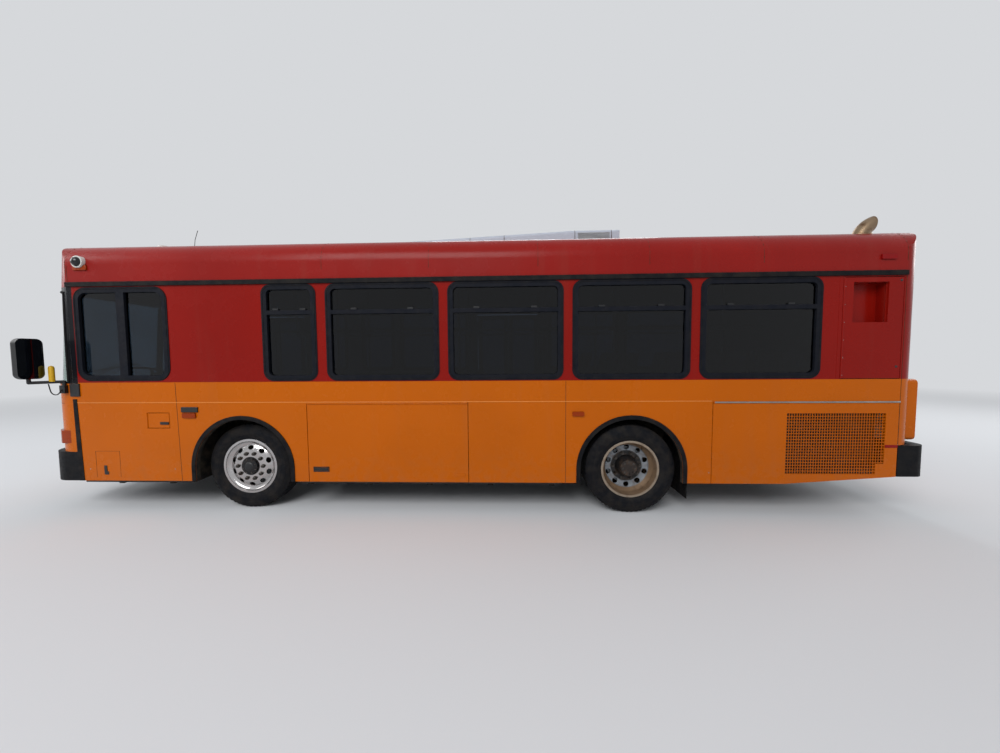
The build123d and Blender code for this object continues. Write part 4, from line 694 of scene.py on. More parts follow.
for material, edge, nodes in (
    (PAINT, 0.002, "battery_door radiator_door small_flap rear_upper_door"),
    (ORANGE_PAINT, 0.006, "engine_door"),
    (BUMPER_PLASTIC, 0.006, "bumpers"),
    (WHITE_PLASTIC, 0.006, "front_hatch rear_hatch"),
    (UNIT_PAINT, 0.004, "roof_unit"),
    (BLACK_RUBBER, 0.002, "mudflaps"),
    (BLACK_RUBBER, 0.003, "rails_and_arch_lips"),
    (BLACK_RUBBER, 0.008, "air_springs"),
    (FRAME_RUBBER, 0.004, "window_frames"),
    (TINT, 0, "window_panes"),
    (CLEAR, 0, "windscreen"),
    (CHASSIS, 0.003, "underframe seat_legs"),
    (CAST, 0.006, "front_axle"),
    (CAST, 0.004, "rear_axle knuckle_left knuckle_right"),
    (ENGINE, 0.02, "engine_block"),
    (COOLER, 0.003, "radiator"),
    (TUBE_STEEL, 0.001, "front_door_arm_front front_door_arm_rear ramp"),
    (FLOOR_RUBBER, 0.002, "floors"),
    (LINING, 0.006, "door_headers"),
    (DASH, 0.012, "dashboard"),
    (BLACK_PLASTIC, 0.002, "steering_wheel"),
    (BLACK_PLASTIC, 0.003, "sign_box"),
    (SHELL_PLASTIC, 0.008, "seat_shells"),
):
    for node in nodes.split():
        finished(node, material, edge)

coloured(finished("roof_fittings", WHITE_PLASTIC, edge=0.002),
         (DARK_LENS, lambda centre, normal: abs(centre.y) > side_y + 0.0345))
coloured(finished("mirrors", BLACK_PLASTIC, edge=0.002),
         (MIRROR_GLASS, lambda centre, normal: normal.x < -0.9 and abs(centre.y) > side_y + 0.1 and centre.z > 1.5))
coloured(finished("lamps", AMBER, edge=0.002),
         (BLACK_PLASTIC, lambda centre, normal: centre.x > 4.3 and centre.z > 0.93),
         (RED_LENS, lambda centre, normal: centre.x < -3.9 and (centre.z > 2.4 or 0.95 < centre.z < 1.25)),
         (WHITE_PLASTIC, lambda centre, normal: centre.x < -4.3 and 1.25 < centre.z < 1.4))


def intake_duct():
    """A sheet duct behind the intake's opening: four walls and a flat back."""
    sheet, gap, mouth, back = 0.002, 0.0005, side_y - 0.036, side_y - intake_deep
    shape = bmesh.new()
    rings = []
    for inset, y in ((gap, back), (gap, mouth), (sheet, mouth), (sheet, back + sheet)):
        near, far = intake_s[0] + inset, intake_s[1] - inset
        low, high = intake_z[0] + inset, intake_z[1] - inset
        rings.append([shape.verts.new(spot(s, y, z)) for s, z in ((near, low), (far, low), (far, high), (near, high))])
    bridge(shape, rings)
    shape.faces.new(rings[0])
    shape.faces.new(rings[-1][::-1])
    build("intake_duct", shape, PAINT, edge=0.0008)


def exhaust_pipe(s, y, bend=0.221, radius=0.072, sheet=0.003, around=40, rows=14):
    """A pipe that bends rearward out of a round foot on the roof, with its mouth cut upright."""
    middle_s, middle_z, mouth = s + bend, 2.826, bend - 0.125
    shape = bmesh.new()

    def line(turn, size, low):
        """Points along the pipe at one turn about its axis, from the roof to the mouth."""
        reach = bend + size * math.cos(turn)
        end = math.acos(mouth / reach)
        angles = [low + (end - low) * i / (rows - 1) for i in range(rows)]
        return [shape.verts.new(spot(middle_s - reach * math.cos(a), y + size * math.sin(turn),
                                     middle_z + reach * math.sin(a))) for a in angles]

    skins = [[line(turn, size, low) for turn in circle(around)]
             for size, low in ((radius, 0.2), (radius - sheet, 0.45))]
    for skin in skins:
        bridge(shape, skin + skin[:1], loop=False)
        shape.faces.new([row[0] for row in skin])
    bridge(shape, [[row[-1] for row in skin] for skin in skins])
    foot = [(0, 0.060), (0, 0.097), (0.027, 0.097), (0.027, 0.060)]
    add_turned(shape, spot(s + 0.012, y, 2.885), UP, foot, 40)
    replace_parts(build("bent_exhaust_pipe", shape, EXHAUST, smooth=42), "exhaust_stack")


intake_duct()
exhaust_pipe(rear_axle_s + 2.425, side_y - 0.285)

# Trim on the sides
SKINS = {}


def on_skin(node, start, way):
    """Where a ray from a start point first meets a CAD node, and the surface's normal there."""
    if node not in SKINS:
        mesh = frame["nodes"][node].data
        SKINS[node] = BVHTree.FromPolygons([v.co for v in mesh.vertices], [p.vertices for p in mesh.polygons])
    return SKINS[node].ray_cast(Vector(start), Vector(way))[:2]


def skin_line(node, rays, wanted=lambda hit: True):
    """The wanted points where rays, each a start and a way, meet a CAD node."""
    hits = [on_skin(node, start, way)[0] for start, way in rays]
    return [hit for hit in hits if hit is not None and wanted(hit)]


def roof_line(s):
    """Points across the roof and its covings at one place along the bus."""
    centre = spot(s, 0, 2.3)
    angles = [math.radians(12 + 2.6 * i) for i in range(61)]
    ways = [Vector((0, math.cos(angle), math.sin(angle))) for angle in angles]
    return skin_line("roof", [(centre + way * 4, -way) for way in ways], lambda hit: hit.z > 2.49)


bead_r = 0.0022
front_seam_s, rear_seam_s = -1.842, 6.787
roof_seams = [roof_line(s) for s in (front_seam_s, 0.93, 2.05, 3.17, 4.29, 5.41, rear_seam_s)]
pipe_piece("roof_seams", roof_seams, bead_r, SEALANT, 6, smooth=32)

side_seams = (
    # s at the top, s at the bottom, top, bottom
    (-0.706, -0.684, 1.405, skirt_z), (3.455, 3.455, 1.405, skirt_z), (rear_seam_s, rear_seam_s, 2.43, 0.75),
    (-1.824, -1.824, 2.66, 2.49),
)
right_seams = ((0.72, 0.72, 1.405, skirt_z), (4.95, 4.95, 1.405, skirt_z))
lines = [(spot(s_top, side * side_y, top), spot(s_low, side * side_y, low))
         for side, seams in ((1, side_seams), (-1, side_seams + right_seams)) for s_top, s_low, top, low in seams]
pipe_piece("side_seams", lines, bead_r, SEALANT, 6, smooth=32)

lap_z = (1.190, 1.197)
laps = [((-1.84, 4.94), at_side(-0.001, 0.0025), lap_z)]
laps += [(s, at_side(-0.001, 0.0025, -1), lap_z) for s in ((-1.84, -1.795), (-0.725, 2.305), (3.365, 6.78))]
# The lap edges are coloured lighter orange, a painted highlight along their top.
box_piece("waist_lap_edges", laps, PAINTED_HIGHLIGHT_EDGE, 0.0008)

shape = bmesh.new()
for side, low_s in ((1, -1.786), (-1, -1.802)):
    outline = ((-1.856, 1.233), (-1.811, 1.233), (low_s, 0.336), (-1.843, 0.336))
    ends = [[shape.verts.new(spot(s, y, z)) for s, z in outline] for y in at_side(-0.001, 0.005, side)]
    bridge(shape, ends)
    shape.faces.new(ends[0])
    shape.faces.new(ends[1][::-1])
build("corner_strips", shape, BLACK_RUBBER, 0.002)

for door, near, far, radius, material in (("radiator_door", 4.962, 6.784, 0.0088, BARE_STEEL),
                                          ("battery_door", 0.726, 2.434, 0.0086, PAINT)):
    line = (spot(near, side_y + 0.002, waist_z), spot(far, side_y + 0.002, waist_z))
    pipe_piece(door + "_hinge_cover", [line], radius, material, 14, smooth=32, body=door)

rivets = [facing(spot(s, side_y, z), (0, 1, 0)) for s, z in ((-1.718, 0.464), (-0.758, 0.468), (4.925, 0.45))]
rail_rivets = [facing(spot(-1.80 + 0.1 * i, side * (side_y + 0.018), 2.458), (0, side, 0))
               for i in range(86) for side in SIDES]
door_rivets = [facing(spot(6.206, side_y, 1.45 + 0.176 * i), (0, 1, 0)) for i in range(6)]
locks = [facing(spot(s, side_y, z), (0, 1, 0)) for s, z in ((6.738, 2.385), (6.728, 1.535))]
copies("panel_rivets", dome(0.0055, 0.0025), rivets, BARE_STEEL)
copies("drip_rail_rivets", dome(0.005, 0.0025), rail_rivets, BLACK_RUBBER)
copies("upper_door_rivets", dome(0.0055, 0.0025), door_rivets, BARE_STEEL, "upper_side_door")
copies("upper_door_locks", dome(0.012, 0.005, 16), locks, BLACK_PLASTIC, "upper_side_door")

# Latches, plates, markers and reflectors, by their s, y and z ranges
low_flap = ((-1.644, 0.375), (-1.644, 0.662), (-1.373, 0.662), (-1.373, 0.375))
pipe_piece("low_flap_seam", [[spot(s, side_y, z) for s, z in low_flap]], 0.0013, SEALANT, 6, smooth=32)
box_piece("low_flap_latch", [((-1.555, -1.524), at_side(-0.001, 0.005), (0.405, 0.505)),
                             ((-1.524, -1.508), at_side(-0.001, 0.005), (0.405, 0.440))], BLACK_PLASTIC, 0.002)
box_piece("side_marker_housings", [((-0.647, -0.465), at_side(-0.001, 0.014, side), (1.088, 1.144)) for side in SIDES],
          BLACK_PLASTIC, 0.004)
box_piece("front_roof_markers", [((-1.740, -1.592), at_side(-0.001, 0.018, side), (2.605, 2.660)) for side in SIDES],
          AMBER, 0.006)
for name, s, y, z, material, edge, body in (
    ("upper_door_hinge_strip", (6.150, 6.184), at_side(-0.001, 0.002), (1.42, 2.418), PAINT, 0.0006, BODY),
    ("small_flap_latch", (-0.891, -0.797), at_side(-0.002, 0.009), (0.955, 0.983), BLACK_PLASTIC, 0.003, "small_flap"),
    ("battery_door_plate", (2.283, 2.402), at_side(-0.001, 0.003), (0.40, 0.43), ORANGE_PAINT, 0.001, "battery_door"),
    ("left_rear_reflector", (6.662, 6.784), at_side(-0.001, 0.004), (0.714, 0.742), RED_LENS, 0.001, "radiator_door"),
    ("right_rear_reflector", (6.645, 6.765), at_side(-0.001, 0.004, -1), (0.714, 0.742), RED_LENS, 0.001, BODY),
    ("mirror_mount_plate", (-1.872, -1.768), at_side(-0.002, 0.014), (1.262, 1.402), BLACK_PLASTIC, 0.005, BODY),
):
    box_piece(name, [(s, y, z)], material, edge, body)

# The battery door's flush paddle handle in a thin frame
handle_s, handle_z, rim = (0.774, 0.945), (0.445, 0.499), 0.009
frame_y = at_side(-0.001, 0.003)
paddle = ((handle_s[0] + rim + 0.003, handle_s[1] - rim - 0.003), at_side(-0.001, 0.006),
          (handle_z[0] + rim + 0.003, handle_z[1] - rim - 0.003))
box_piece("battery_door_handle", [
    (handle_s, frame_y, (handle_z[0], handle_z[0] + rim)), (handle_s, frame_y, (handle_z[1] - rim, handle_z[1])),
    ((handle_s[0], handle_s[0] + rim), frame_y, handle_z), ((handle_s[1] - rim, handle_s[1]), frame_y, handle_z),
    paddle,
], BLACK_PLASTIC, 0.0012, "battery_door")


# Windows: a bead round each frame and latches on the vent panes
def solids_of(node):
    """The corner points of each separate solid of a CAD node."""
    shape = merged(node)
    left = set(shape.verts)
    groups = []
    while left:
        waiting = [left.pop()]
        found = []
        while waiting:
            vert = waiting.pop()
            found.append(vert.co.copy())
            for other in [edge.other_vert(vert) for edge in vert.link_edges]:
                if other in left:
                    left.remove(other)
                    waiting.append(other)
        groups.append(found)
    shape.free()
    return groups


def round_loop(x, z, radius, y, steps=6):
    """A closed line round a rectangle with rounded corners in the side's plane."""
    line = []
    for corner_x, corner_z, start in ((x[1], z[1], 0), (x[0], z[1], 90), (x[0], z[0], 180), (x[1], z[0], 270)):
        centre_x = corner_x - math.copysign(radius, corner_x - sum(x) / 2)
        centre_z = corner_z - math.copysign(radius, corner_z - sum(z) / 2)
        for i in range(steps + 1):
            angle = math.radians(start + 90 * i / steps)
            line.append(Vector((centre_x + radius * math.cos(angle), y, centre_z + radius * math.sin(angle))))
    return line + line[:1]


beads, latches = bmesh.new(), []
bead_inset = 0.017
vents_end_x = 3.1
for points in solids_of("window_frames"):
    x, y, z = ((min(values), max(values)) for values in zip(*points))
    side = 1 if y[1] > 0 else -1
    loop = round_loop((x[0] + bead_inset, x[1] - bead_inset), (z[0] + bead_inset, z[1] - bead_inset), 0.09,
                      side * (side_y + 0.006))
    add_pipe(beads, loop, 0.0035, 6, ends=False)
    if x[1] < vents_end_x:
        for share in (0.25, 0.75):
            s = front_axle_x - x[0] - share * (x[1] - x[0])
            latches.append(((s - 0.03, s + 0.03), at_side(-0.018, -0.002, side), (2.162, 2.180)))
build("window_beads", beads, BLACK_RUBBER)
box_piece("vent_pane_latches", latches, BLACK_PLASTIC, 0.002)


# Front: windscreen gasket, wipers, headlamps, nose seams
def nose_line(z, reach):
    """Points round the nose at one height, from the left side to the right."""
    hub = spot(-1.5, 0, z)
    angles = [math.radians(reach - 2 * reach * i / 60) for i in range(61)]
    ways = [Vector((math.cos(angle), math.sin(angle), 0)) for angle in angles]
    return skin_line("front_cap", [(hub + way * 4, -way) for way in ways], lambda hit: hit.x > front_axle_x + 1.85)


BACK = (-1, 0, 0)
ahead_x = 6
glass_z = (1.411, 2.389)
post_z = [glass_z[0] + (glass_z[1] - glass_z[0]) * i / 20 for i in range(21)]
gasket = [[hit for hit in nose_line(z, 74) if hit.x > front_axle_x + 1.895] for z in glass_z]
gasket += [skin_line("front_cap", [(spot(-1.892, side * 3, z), (0, -side, 0)) for z in post_z]) for side in SIDES]
pipe_piece("windscreen_gasket", gasket, 0.011, BLACK_RUBBER)

nose_seams = [nose_line(z, reach) for z, reach in ((1.185, 70), (0.90, 60), (2.428, 72))]
nose_seams += [skin_line("front_cap", [((ahead_x, y, 0.665 + 0.0515 * i), BACK) for i in range(11)])
               for y in (-0.62, 0.62)]
pipe_piece("nose_seams", nose_seams, bead_r, SEALANT, 6, smooth=32)


def on_screen(y, z, lift):
    """A point in front of the windscreen at a sideways place and height."""
    hit, normal = on_skin("windscreen", (ahead_x, y, z), BACK)
    return hit + normal * lift


arms, blades, hubs = bmesh.new(), bmesh.new(), bmesh.new()
spindle = [(0, 0.0), (0, 0.034), (0.012, 0.034), (0.03, 0.021), (0.05, 0.019), (0.052, 0)]
carrier = Vector((0.014, 0, 0))
for pivot_y, tip_y in ((0.98, 0.28), (-0.10, -0.80)):
    foot, way = on_skin("front_cap", (ahead_x, pivot_y, 1.345), BACK)
    add_turned(hubs, foot - way * 0.004, way, spindle, 20, closed=False)
    tip = on_screen((pivot_y + 2 * tip_y) / 3, 1.56, 0.05)
    knee = foot + way * 0.048
    for gap in (0, 0.028):
        lift = Vector((0, 0, gap))
        add_pipe(arms, curved((knee + lift, knee * 0.6 + tip * 0.4 + Vector((0.01, 0, gap)), tip + lift)), 0.005)
    line = [on_screen(pivot_y * (1 - t) + tip_y * t, 1.50 + 0.09 * t, 0.011) for t in [i / 10 for i in range(11)]]
    add_pipe(blades, line, 0.0055, 6)
    add_pipe(blades, [point + carrier for point in line], 0.007, 6)
    add_pipe(arms, (tip, line[6] + carrier), 0.006)
build("wiper_arms", arms, BLACK_PLASTIC, smooth=60)
build("wiper_blades", blades, BLACK_RUBBER, smooth=60)
build("wiper_spindles", hubs, BLACK_PLASTIC)

headlamps = [on_skin("lamps", (ahead_x, side * y, 1.035), BACK) for side in SIDES for y in (0.772, 0.928)]
turned_piece("headlamp_rings", headlamps, [(-0.001, 0.064), (0.010, 0.062), (0.012, 0.056), (0.004, 0.054)], CHROME, 36)
turned_piece("headlamp_bowls", headlamps, [(0.0012, 0.054), (0.0010, 0.03), (0.0008, 0)], CHROME, 36, 32, closed=False)
turned_piece("headlamp_lenses", headlamps, [(0.004, 0.0545), (0.011, 0.048), (0.0155, 0.03), (0.017, 0), (0.015, 0),
                                            (0.0135, 0.03), (0.009, 0.047), (0.002, 0.0525)], HEAD_LENS, 36, 60)
turned_piece("headlamp_bulbs", headlamps, [(0.001, 0.012), (0.010, 0.010), (0.012, 0)], WHITE_PLASTIC, 16, 32,
             closed=False)

# Rear: rings and ribs on the lamps, latches on the two doors
tail_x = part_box("engine_door")[0].x
tail_lamps = [(Vector((tail_x - 0.0005, side * (side_y - 0.245), z)), BACK)
              for side in SIDES for z in (0.880, 1.030, 1.180, 1.310)]
turned_piece("tail_lamp_rings", tail_lamps, [(0, 0.053), (0, 0.060), (0.012, 0.059), (0.015, 0.0535)], BLACK_RUBBER, 40)
ribs = bmesh.new()
for centre, axis in tail_lamps:
    for radius in (0.018, 0.031, 0.043):
        add_turned(ribs, centre, axis, [(0.021, radius - 0.003), (0.0245, radius), (0.021, radius + 0.003)], 40)
build("tail_lamp_ribs", ribs, DARK_LENS, smooth=60)
for door, inset, thick, places_y, half, z in (("engine_door", 0, 0.010, (-0.62, 0.62), 0.06, (0.82, 0.87)),
                                              ("rear_upper_door", 0.010, 0.012, (-0.55, 0.55), 0.05, (1.56, 1.60))):
    s = front_axle_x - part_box(door)[0].x - inset
    rows = [((s, s + thick), (y - half, y + half), z) for y in places_y]
    box_piece(door + "_latches", rows, BLACK_PLASTIC, 0.003, door)

# Mirrors: the yellow post at the left one and a cable loop at each; a dark strip below the radiator core behind the
# radiator door, painted shade in the gap behind the grille
turned_piece("mirror_post", [(spot(-1.9785, 1.37, 1.43), UP)],
             [(0, 0), (0, 0.024), (0.145, 0.024), (0.162, 0.018), (0.17, 0)], YELLOW, 20, closed=False)
cable = ((-1.93, 1.325, 1.345), (-1.945, 1.36, 1.29), (-1.975, 1.385, 1.31), (-1.99, 1.395, 1.405))
cables = [curved([spot(s, side * y, z) for s, y, z in cable]) for side in SIDES]
pipe_piece("mirror_cables", cables, 0.005, BLACK_RUBBER)
cooler_low, cooler_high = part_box("radiator")
# A dark sheet that closes the gap below the radiator core, standing in for the shade behind the grille.
box_piece("radiator_shroud", [((front_axle_x - cooler_high.x - 0.02, front_axle_x - cooler_low.x + 0.02),
                               (cooler_high.y + 0.004, cooler_high.y + 0.010), (0.412, 0.478))], CHASSIS, 0.001)

# Roof: whip aerial, joints, vents and screws of the roof unit
whip_foot = spot(-0.80, side_y - 0.445, 2.945)
pipe_piece("whip_aerial", [(whip_foot, whip_foot + Vector((-0.012, 0, 0.10)), whip_foot + Vector((-0.05, 0, 0.205)))],
           0.003, BLACK_PLASTIC)

unit_y = side_y - 0.515
unit_joints = []
for s in (2.423, 2.818, 3.627, 4.041):
    top = on_skin("roof_unit", spot(s, unit_y * 0.93, 4), (0, 0, -1))[0].z
    half = ((unit_y, 2.90), (unit_y, top - 0.03), (unit_y - 0.009, top - 0.009), (unit_y - 0.03, top))
    unit_joints.append([spot(s, y, z) for y, z in half] + [spot(s, -y, z) for y, z in half[::-1]])
pipe_piece("roof_unit_joints", unit_joints, 0.0035, SEALANT, 6, smooth=32)
slat_z = [2.955 + 0.013 * i for i in range(9)]
slats = [((3.66, 4.02), (side * (unit_y - 0.001), side * (unit_y + 0.006)), (z, z + 0.006))
         for z in slat_z for side in SIDES]
box_piece("roof_unit_vents", slats, BARE_STEEL, 0.001)
screws = [facing(spot(2.30 + 0.15 * i, side * unit_y, 2.945), (0, side, 0)) for i in range(12) for side in SIDES]
copies("roof_unit_screws", dome(0.007, 0.004), screws, BARE_STEEL)

# Tyres with tread, nuts, hub bolts and valves
tyre_r = 0.470
tyre_wide = 0.275
tread_pitches = 60
sidewall = ((0.025, 0.288), (0.025, 0.300), (0.0205, 0.3065), (0.0185, 0.3125), (0.0115, 0.3205), (0.0065, 0.3335),
            (0.0025, 0.3505), (0.0008, 0.3525), (0.0026, 0.3545), (0.0006, 0.3725), (0.0004, 0.3880), (0.0016, 0.4000),
            (0.0002, 0.4020), (0.0020, 0.4045), (0.0058, 0.4180), (0.0115, 0.4320), (0.0175, 0.4420), (0.0240, 0.4500))
groove_places = (-0.060, -0.020, 0.020, 0.060)
groove_half = 0.0055
groove_deep = 0.014
slot_deep = 0.006
sway_wide = 0.0035
shoulder_places = (-0.1055, -0.0985, -0.0900, -0.0800)
PLAIN, ZIGZAG, SLOT = "plain", "zigzag", "slot"


def tread_profile():
    """The tyre's outline from its outer bead to its inner one, each point with the kind of pattern it carries."""
    def crown(place):
        """The tread's radius at a distance from its middle."""
        return tyre_r - 0.0045 * (place / 0.0925) ** 2
    middle = tyre_wide / 2
    profile = [(inset, radius, PLAIN) for inset, radius in sidewall]
    profile += [(middle + place, crown(place), SLOT) for place in shoulder_places]
    for place in groove_places:
        for share, deep in ((-1, 0), (-0.6, groove_deep), (0.6, groove_deep), (1, 0)):
            profile.append((middle + place + share * groove_half, crown(place) - deep, ZIGZAG))
    profile += [(middle - place, crown(place), SLOT) for place in reversed(shoulder_places)]
    return profile + [(tyre_wide - inset, radius, PLAIN) for inset, radius in reversed(sidewall)]


def add_tyre(shape, axle_s, side, face_y):
    """Adds one tyre whose outer face is at a distance from the bus's middle."""
    profile = tread_profile()
    rings = []
    for k, angle in enumerate(circle(4 * tread_pitches)):
        sway = sway_wide * (0, 1, 0, -1)[k % 4]
        ring = []
        for inset, radius, kind in profile:
            inset += sway if kind == ZIGZAG else 0
            radius -= slot_deep if kind == SLOT and k % 4 == 0 else 0
            ring.append(shape.verts.new(spot(axle_s + radius * math.cos(angle), side * (face_y - inset),
                                             wheel_z + radius * math.sin(angle))))
        rings.append(ring)
    bridge(shape, rings + rings[:1])


def wheel_places(axle_s, side, y, radius, count, start=0.0):
    """Places on a circle round an axle, facing outward."""
    angles = [math.radians(start + 360 * i / count) for i in range(count)]
    return [facing(spot(axle_s + radius * math.cos(a), side * y, wheel_z + radius * math.sin(a)), (0, side, 0))
            for a in angles]


front_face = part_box("front_left_tyre")[1].y
rear_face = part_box("rear_left_tyres")[1].y
dual_pitch = 0.311
rim_lip = [(-0.0505, 0.2345), (-0.046, 0.246), (-0.042, 0.257), (-0.034, 0.269), (-0.0225, 0.2775),
           (-0.0176, 0.2795), (-0.030, 0.2795), (-0.052, 0.262), (-0.058, 0.2345)]
hub_cap = [(0, 0.050), (0.004, 0.046), (0.007, 0.030), (0.0075, 0)]
for name, side in (("left", 1), ("right", -1)):
    # each end: axle, outer faces of its tyres, nuts, hub bolts and valve, with "in" for how far inside the face
    for end, plural, axle_s, faces, nut_high, nut_in, bolt, bolt_in, bolt_r, bolt_start, valve_in in (
        ("front", "", 0, (front_face,), 0.024, 0.0225, (0.0075, 0.007), -0.001, 0.0735, 20, 0.05),
        ("rear", "s", rear_axle_s, (rear_face, rear_face - dual_pitch), 0.026, 0.1585, (0.009, 0.009), 0.0485, 0.064, 0,
         0.09),
    ):
        body = f"{end}_{name}_wheel{plural}"
        face = faces[0]
        shape = bmesh.new()
        for tyre_face in faces:
            add_tyre(shape, axle_s, side, tyre_face)
        tyre = build(f"{end}_{name}_tyre{plural}_moulded", shape, TYRE, smooth=38, body=body)
        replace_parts(tyre, f"{end}_{name}_tyre{plural}")
        copies(f"{end}_{name}_nuts", hexagon(0.0175, nut_high), wheel_places(axle_s, side, face - nut_in, 0.1425, 10),
               NUT_STEEL, body)
        copies(f"{end}_{name}_hub_bolts", hexagon(*bolt),
               wheel_places(axle_s, side, face - bolt_in, bolt_r, 8, bolt_start), NUT_STEEL, body)
        slope = math.radians(54)
        valve = [spot(axle_s + r * math.cos(slope), side * y, wheel_z + r * math.sin(slope))
                 for r, y in ((0.262, face - valve_in - 0.03), (0.236, face - valve_in + 0.01))]
        pipe_piece(f"{end}_{name}_valve", [valve], 0.0042, NUT_STEEL, body=body)
    body = f"front_{name}_wheel"
    out = (0, side, 0)
    turned_piece(f"front_{name}_hub_cap", [(spot(0, side * (front_face + 0.0075), wheel_z), out)], hub_cap,
                 BLACK_PLASTIC, 32, closed=False, body=body)
    turned_piece(f"front_{name}_rim_face", [(spot(0, side * front_face, wheel_z), out)], rim_lip, ALLOY, 72, body=body)

# Passenger doors: rubber edges, grab bars and the header seals
pane_y, bar_y, bar_half = -1.252, -1.205, 0.185
for door in ("front", "rear"):
    for end, turn in (("front", 1), ("rear", -1)):
        leaf = f"{door}_door_leaf_{end}"
        low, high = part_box(leaf)
        meeting_x, jamb_x = (low.x, high.x) if turn > 0 else (high.x, low.x)
        if door == "rear":
            jamb_x -= turn * 0.010
        shape = bmesh.new()
        for y, radius in ((0.025, 0.0045), (0.013, 0.0035)):
            add_pipe(shape, [Vector((meeting_x, y - side_y, z)) for z in (low.z + 0.004, high.z - 0.004)], radius)
        build(leaf + "_edge_rubber", shape, BLACK_RUBBER, smooth=60, body=leaf)
        middle = (meeting_x + jamb_x) / 2
        near, far = middle + turn * bar_half, middle - turn * bar_half
        line = curved(((near, pane_y, 1.42), (near, bar_y, 1.40), (middle, bar_y, 1.20), (far, bar_y, 1.00),
                       (far, pane_y, 0.98)), 5)
        pipe_piece(leaf + "_grab_bar", [line], 0.011, YELLOW, 10, body=leaf)
seals = [(s, at_side(-0.02, 0.004, -1), (2.3775, 2.3975)) for s in ((-1.79, -0.73), (2.310, 3.360))]
box_piece("door_head_seals", seals, BLACK_RUBBER, 0.002)

# Inside: crowned cushions with welts, the driver's seat, lights, dials and rail joints
pad_u = (-1, -0.97, -0.92, -0.84, -0.74, -0.62, -0.50, -0.42, -0.37, -0.34, -0.31, -0.26, -0.16, 0)
pad_u += tuple(-u for u in reversed(pad_u[:-1]))
pad_v = (-1, -0.96, -0.88, -0.74, -0.5, -0.25, 0, 0.25, 0.5, 0.74, 0.88, 0.96, 1)
stitch_u = 0.34


def add_pad(shape, welts, centre, along_u, along_v, out, thick, stitched=True):
    """Adds a stuffed pad: flat behind, crowned in front, with two stitched channels and a welt round it."""
    def place(u, v):
        """A point of the crowned front, with u and v from -1 to 1."""
        swell = math.sqrt(max(0, (1 - u ** 6) * (1 - v ** 6)))
        dip = 0.20 * math.exp(-((abs(u) - stitch_u) / 0.035) ** 2) * swell if stitched else 0
        height = thick * (0.42 + 0.58 * swell * (0.86 + 0.14 * (1 - v * v)) - dip)
        flat = centre + along_u * u * (1 - 0.035 * v ** 8) + along_v * v * (1 - 0.035 * u ** 8)
        return flat + out * (height - thick / 2)
    rows = [[shape.verts.new(place(u, v)) for u in pad_u] for v in pad_v]
    bridge(shape, rows, loop=False)
    rim = rows[0] + [row[-1] for row in rows[1:]] + rows[-1][-2::-1] + [row[0] for row in rows[-2:0:-1]]
    foot = [shape.verts.new(vert.co - out * (thick * 0.42)) for vert in rim]
    bridge(shape, [rim, foot])
    shape.faces.new(foot)
    line = [vert.co.copy() for vert in rim[::2]]
    add_pipe(welts, line + line[:2], 0.0042, 6, ends=False)


def box_axes(points):
    """A box's middle and its three half edges, the shortest first."""
    ways = sorted((point - points[0] for point in points[1:]), key=lambda way: way.length)
    edges = []
    for way in ways:
        if all(abs(way.normalized().dot(edge.normalized())) < 1e-3 for edge in edges):
            edges.append(way)
    return sum(points, Vector()) / len(points), [edge / 2 for edge in edges[:3]]


pads, welts = bmesh.new(), bmesh.new()
for points in solids_of("seat_pads"):
    middle, (thin, second, third) = box_axes(points)
    out = thin.normalized()
    lies_flat = abs(out.z) > 0.8
    toward = Vector((1, 0, 0)) if abs(out.x) > abs(out.y) else Vector((0, -math.copysign(1, middle.y), 0))
    if out.dot(Vector(UP) if lies_flat else toward) < 0:
        out = -out
    level, other = (second, third) if lies_flat or abs(second.z) < abs(third.z) else (third, second)
    add_pad(pads, welts, middle, level, other, out, 2 * thin.length)
cushions = build("seat_cushions", pads, SEAT_CLOTH, smooth=50)
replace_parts(cushions, "seat_pads")
build("seat_welts", welts, WELT, smooth=80)

pads, welts = bmesh.new(), bmesh.new()
seat = Vector((front_axle_x + 1.165, side_y - 0.535, 0.620))
lean = math.radians(9)
back_out = Vector((math.cos(lean), 0, math.sin(lean)))
back_up = Vector((-math.sin(lean), 0, math.cos(lean)))
add_pad(pads, welts, seat + Vector((0.010, 0, 0.345)), Vector((0.25, 0, 0)), Vector((0, 0.25, 0)), Vector(UP), 0.13)
add_pad(pads, welts, seat + Vector((-0.260, 0, 0.680)), Vector((0, 0.24, 0)), back_up * 0.32, back_out, 0.11)
add_pad(pads, welts, seat + Vector((-0.318, 0, 1.070)), Vector((0, 0.14, 0)), back_up * 0.085, back_out, 0.09,
        stitched=False)
driver_cushions = build("driver_cushions", pads, DRIVER_CLOTH, smooth=50)
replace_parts(driver_cushions, "driver_seat")
build("driver_seat_welts", welts, WELT, smooth=80)

# half length, half width, bottom and top of each box under the driver's cushion; folds of the bellows take turns
seat_s = front_axle_x - seat.x
base = [(0.15, 0.16, 0.0005, 0.05), (0.13, 0.13, 0.23, 0.28)]
for i in range(9):
    inset = 0.03 if i % 2 else 0.015
    base.append((0.15 - inset, 0.16 - inset, 0.05 + 0.02 * i, 0.0701 + 0.02 * i))
rows = [((seat_s - long, seat_s + long), (seat.y - wide, seat.y + wide), (seat.z + low, seat.z + high))
        for long, wide, low, high in base]
box_piece("driver_seat_base", rows, BLACK_RUBBER, 0.003)

lights = []
for s in (-1.35 + 1.23 * i for i in range(6)):
    for side in SIDES:
        ceiling = on_skin("roof", spot(s + 0.6, side * 0.62, 2.2), UP)[0].z
        lights.append(((s, s + 1.16), (side * 0.54, side * 0.70), (ceiling - 0.028, ceiling - 0.002)))
box_piece("ceiling_lights", lights, WHITE_PLASTIC, 0.006)
box_piece("step_edge", [((3.389, 3.392), (-1.10, 1.10), (0.770, 0.800)), ((3.39, 3.43), (-1.10, 1.10), (0.800, 0.802))],
          YELLOW, 0.0006)

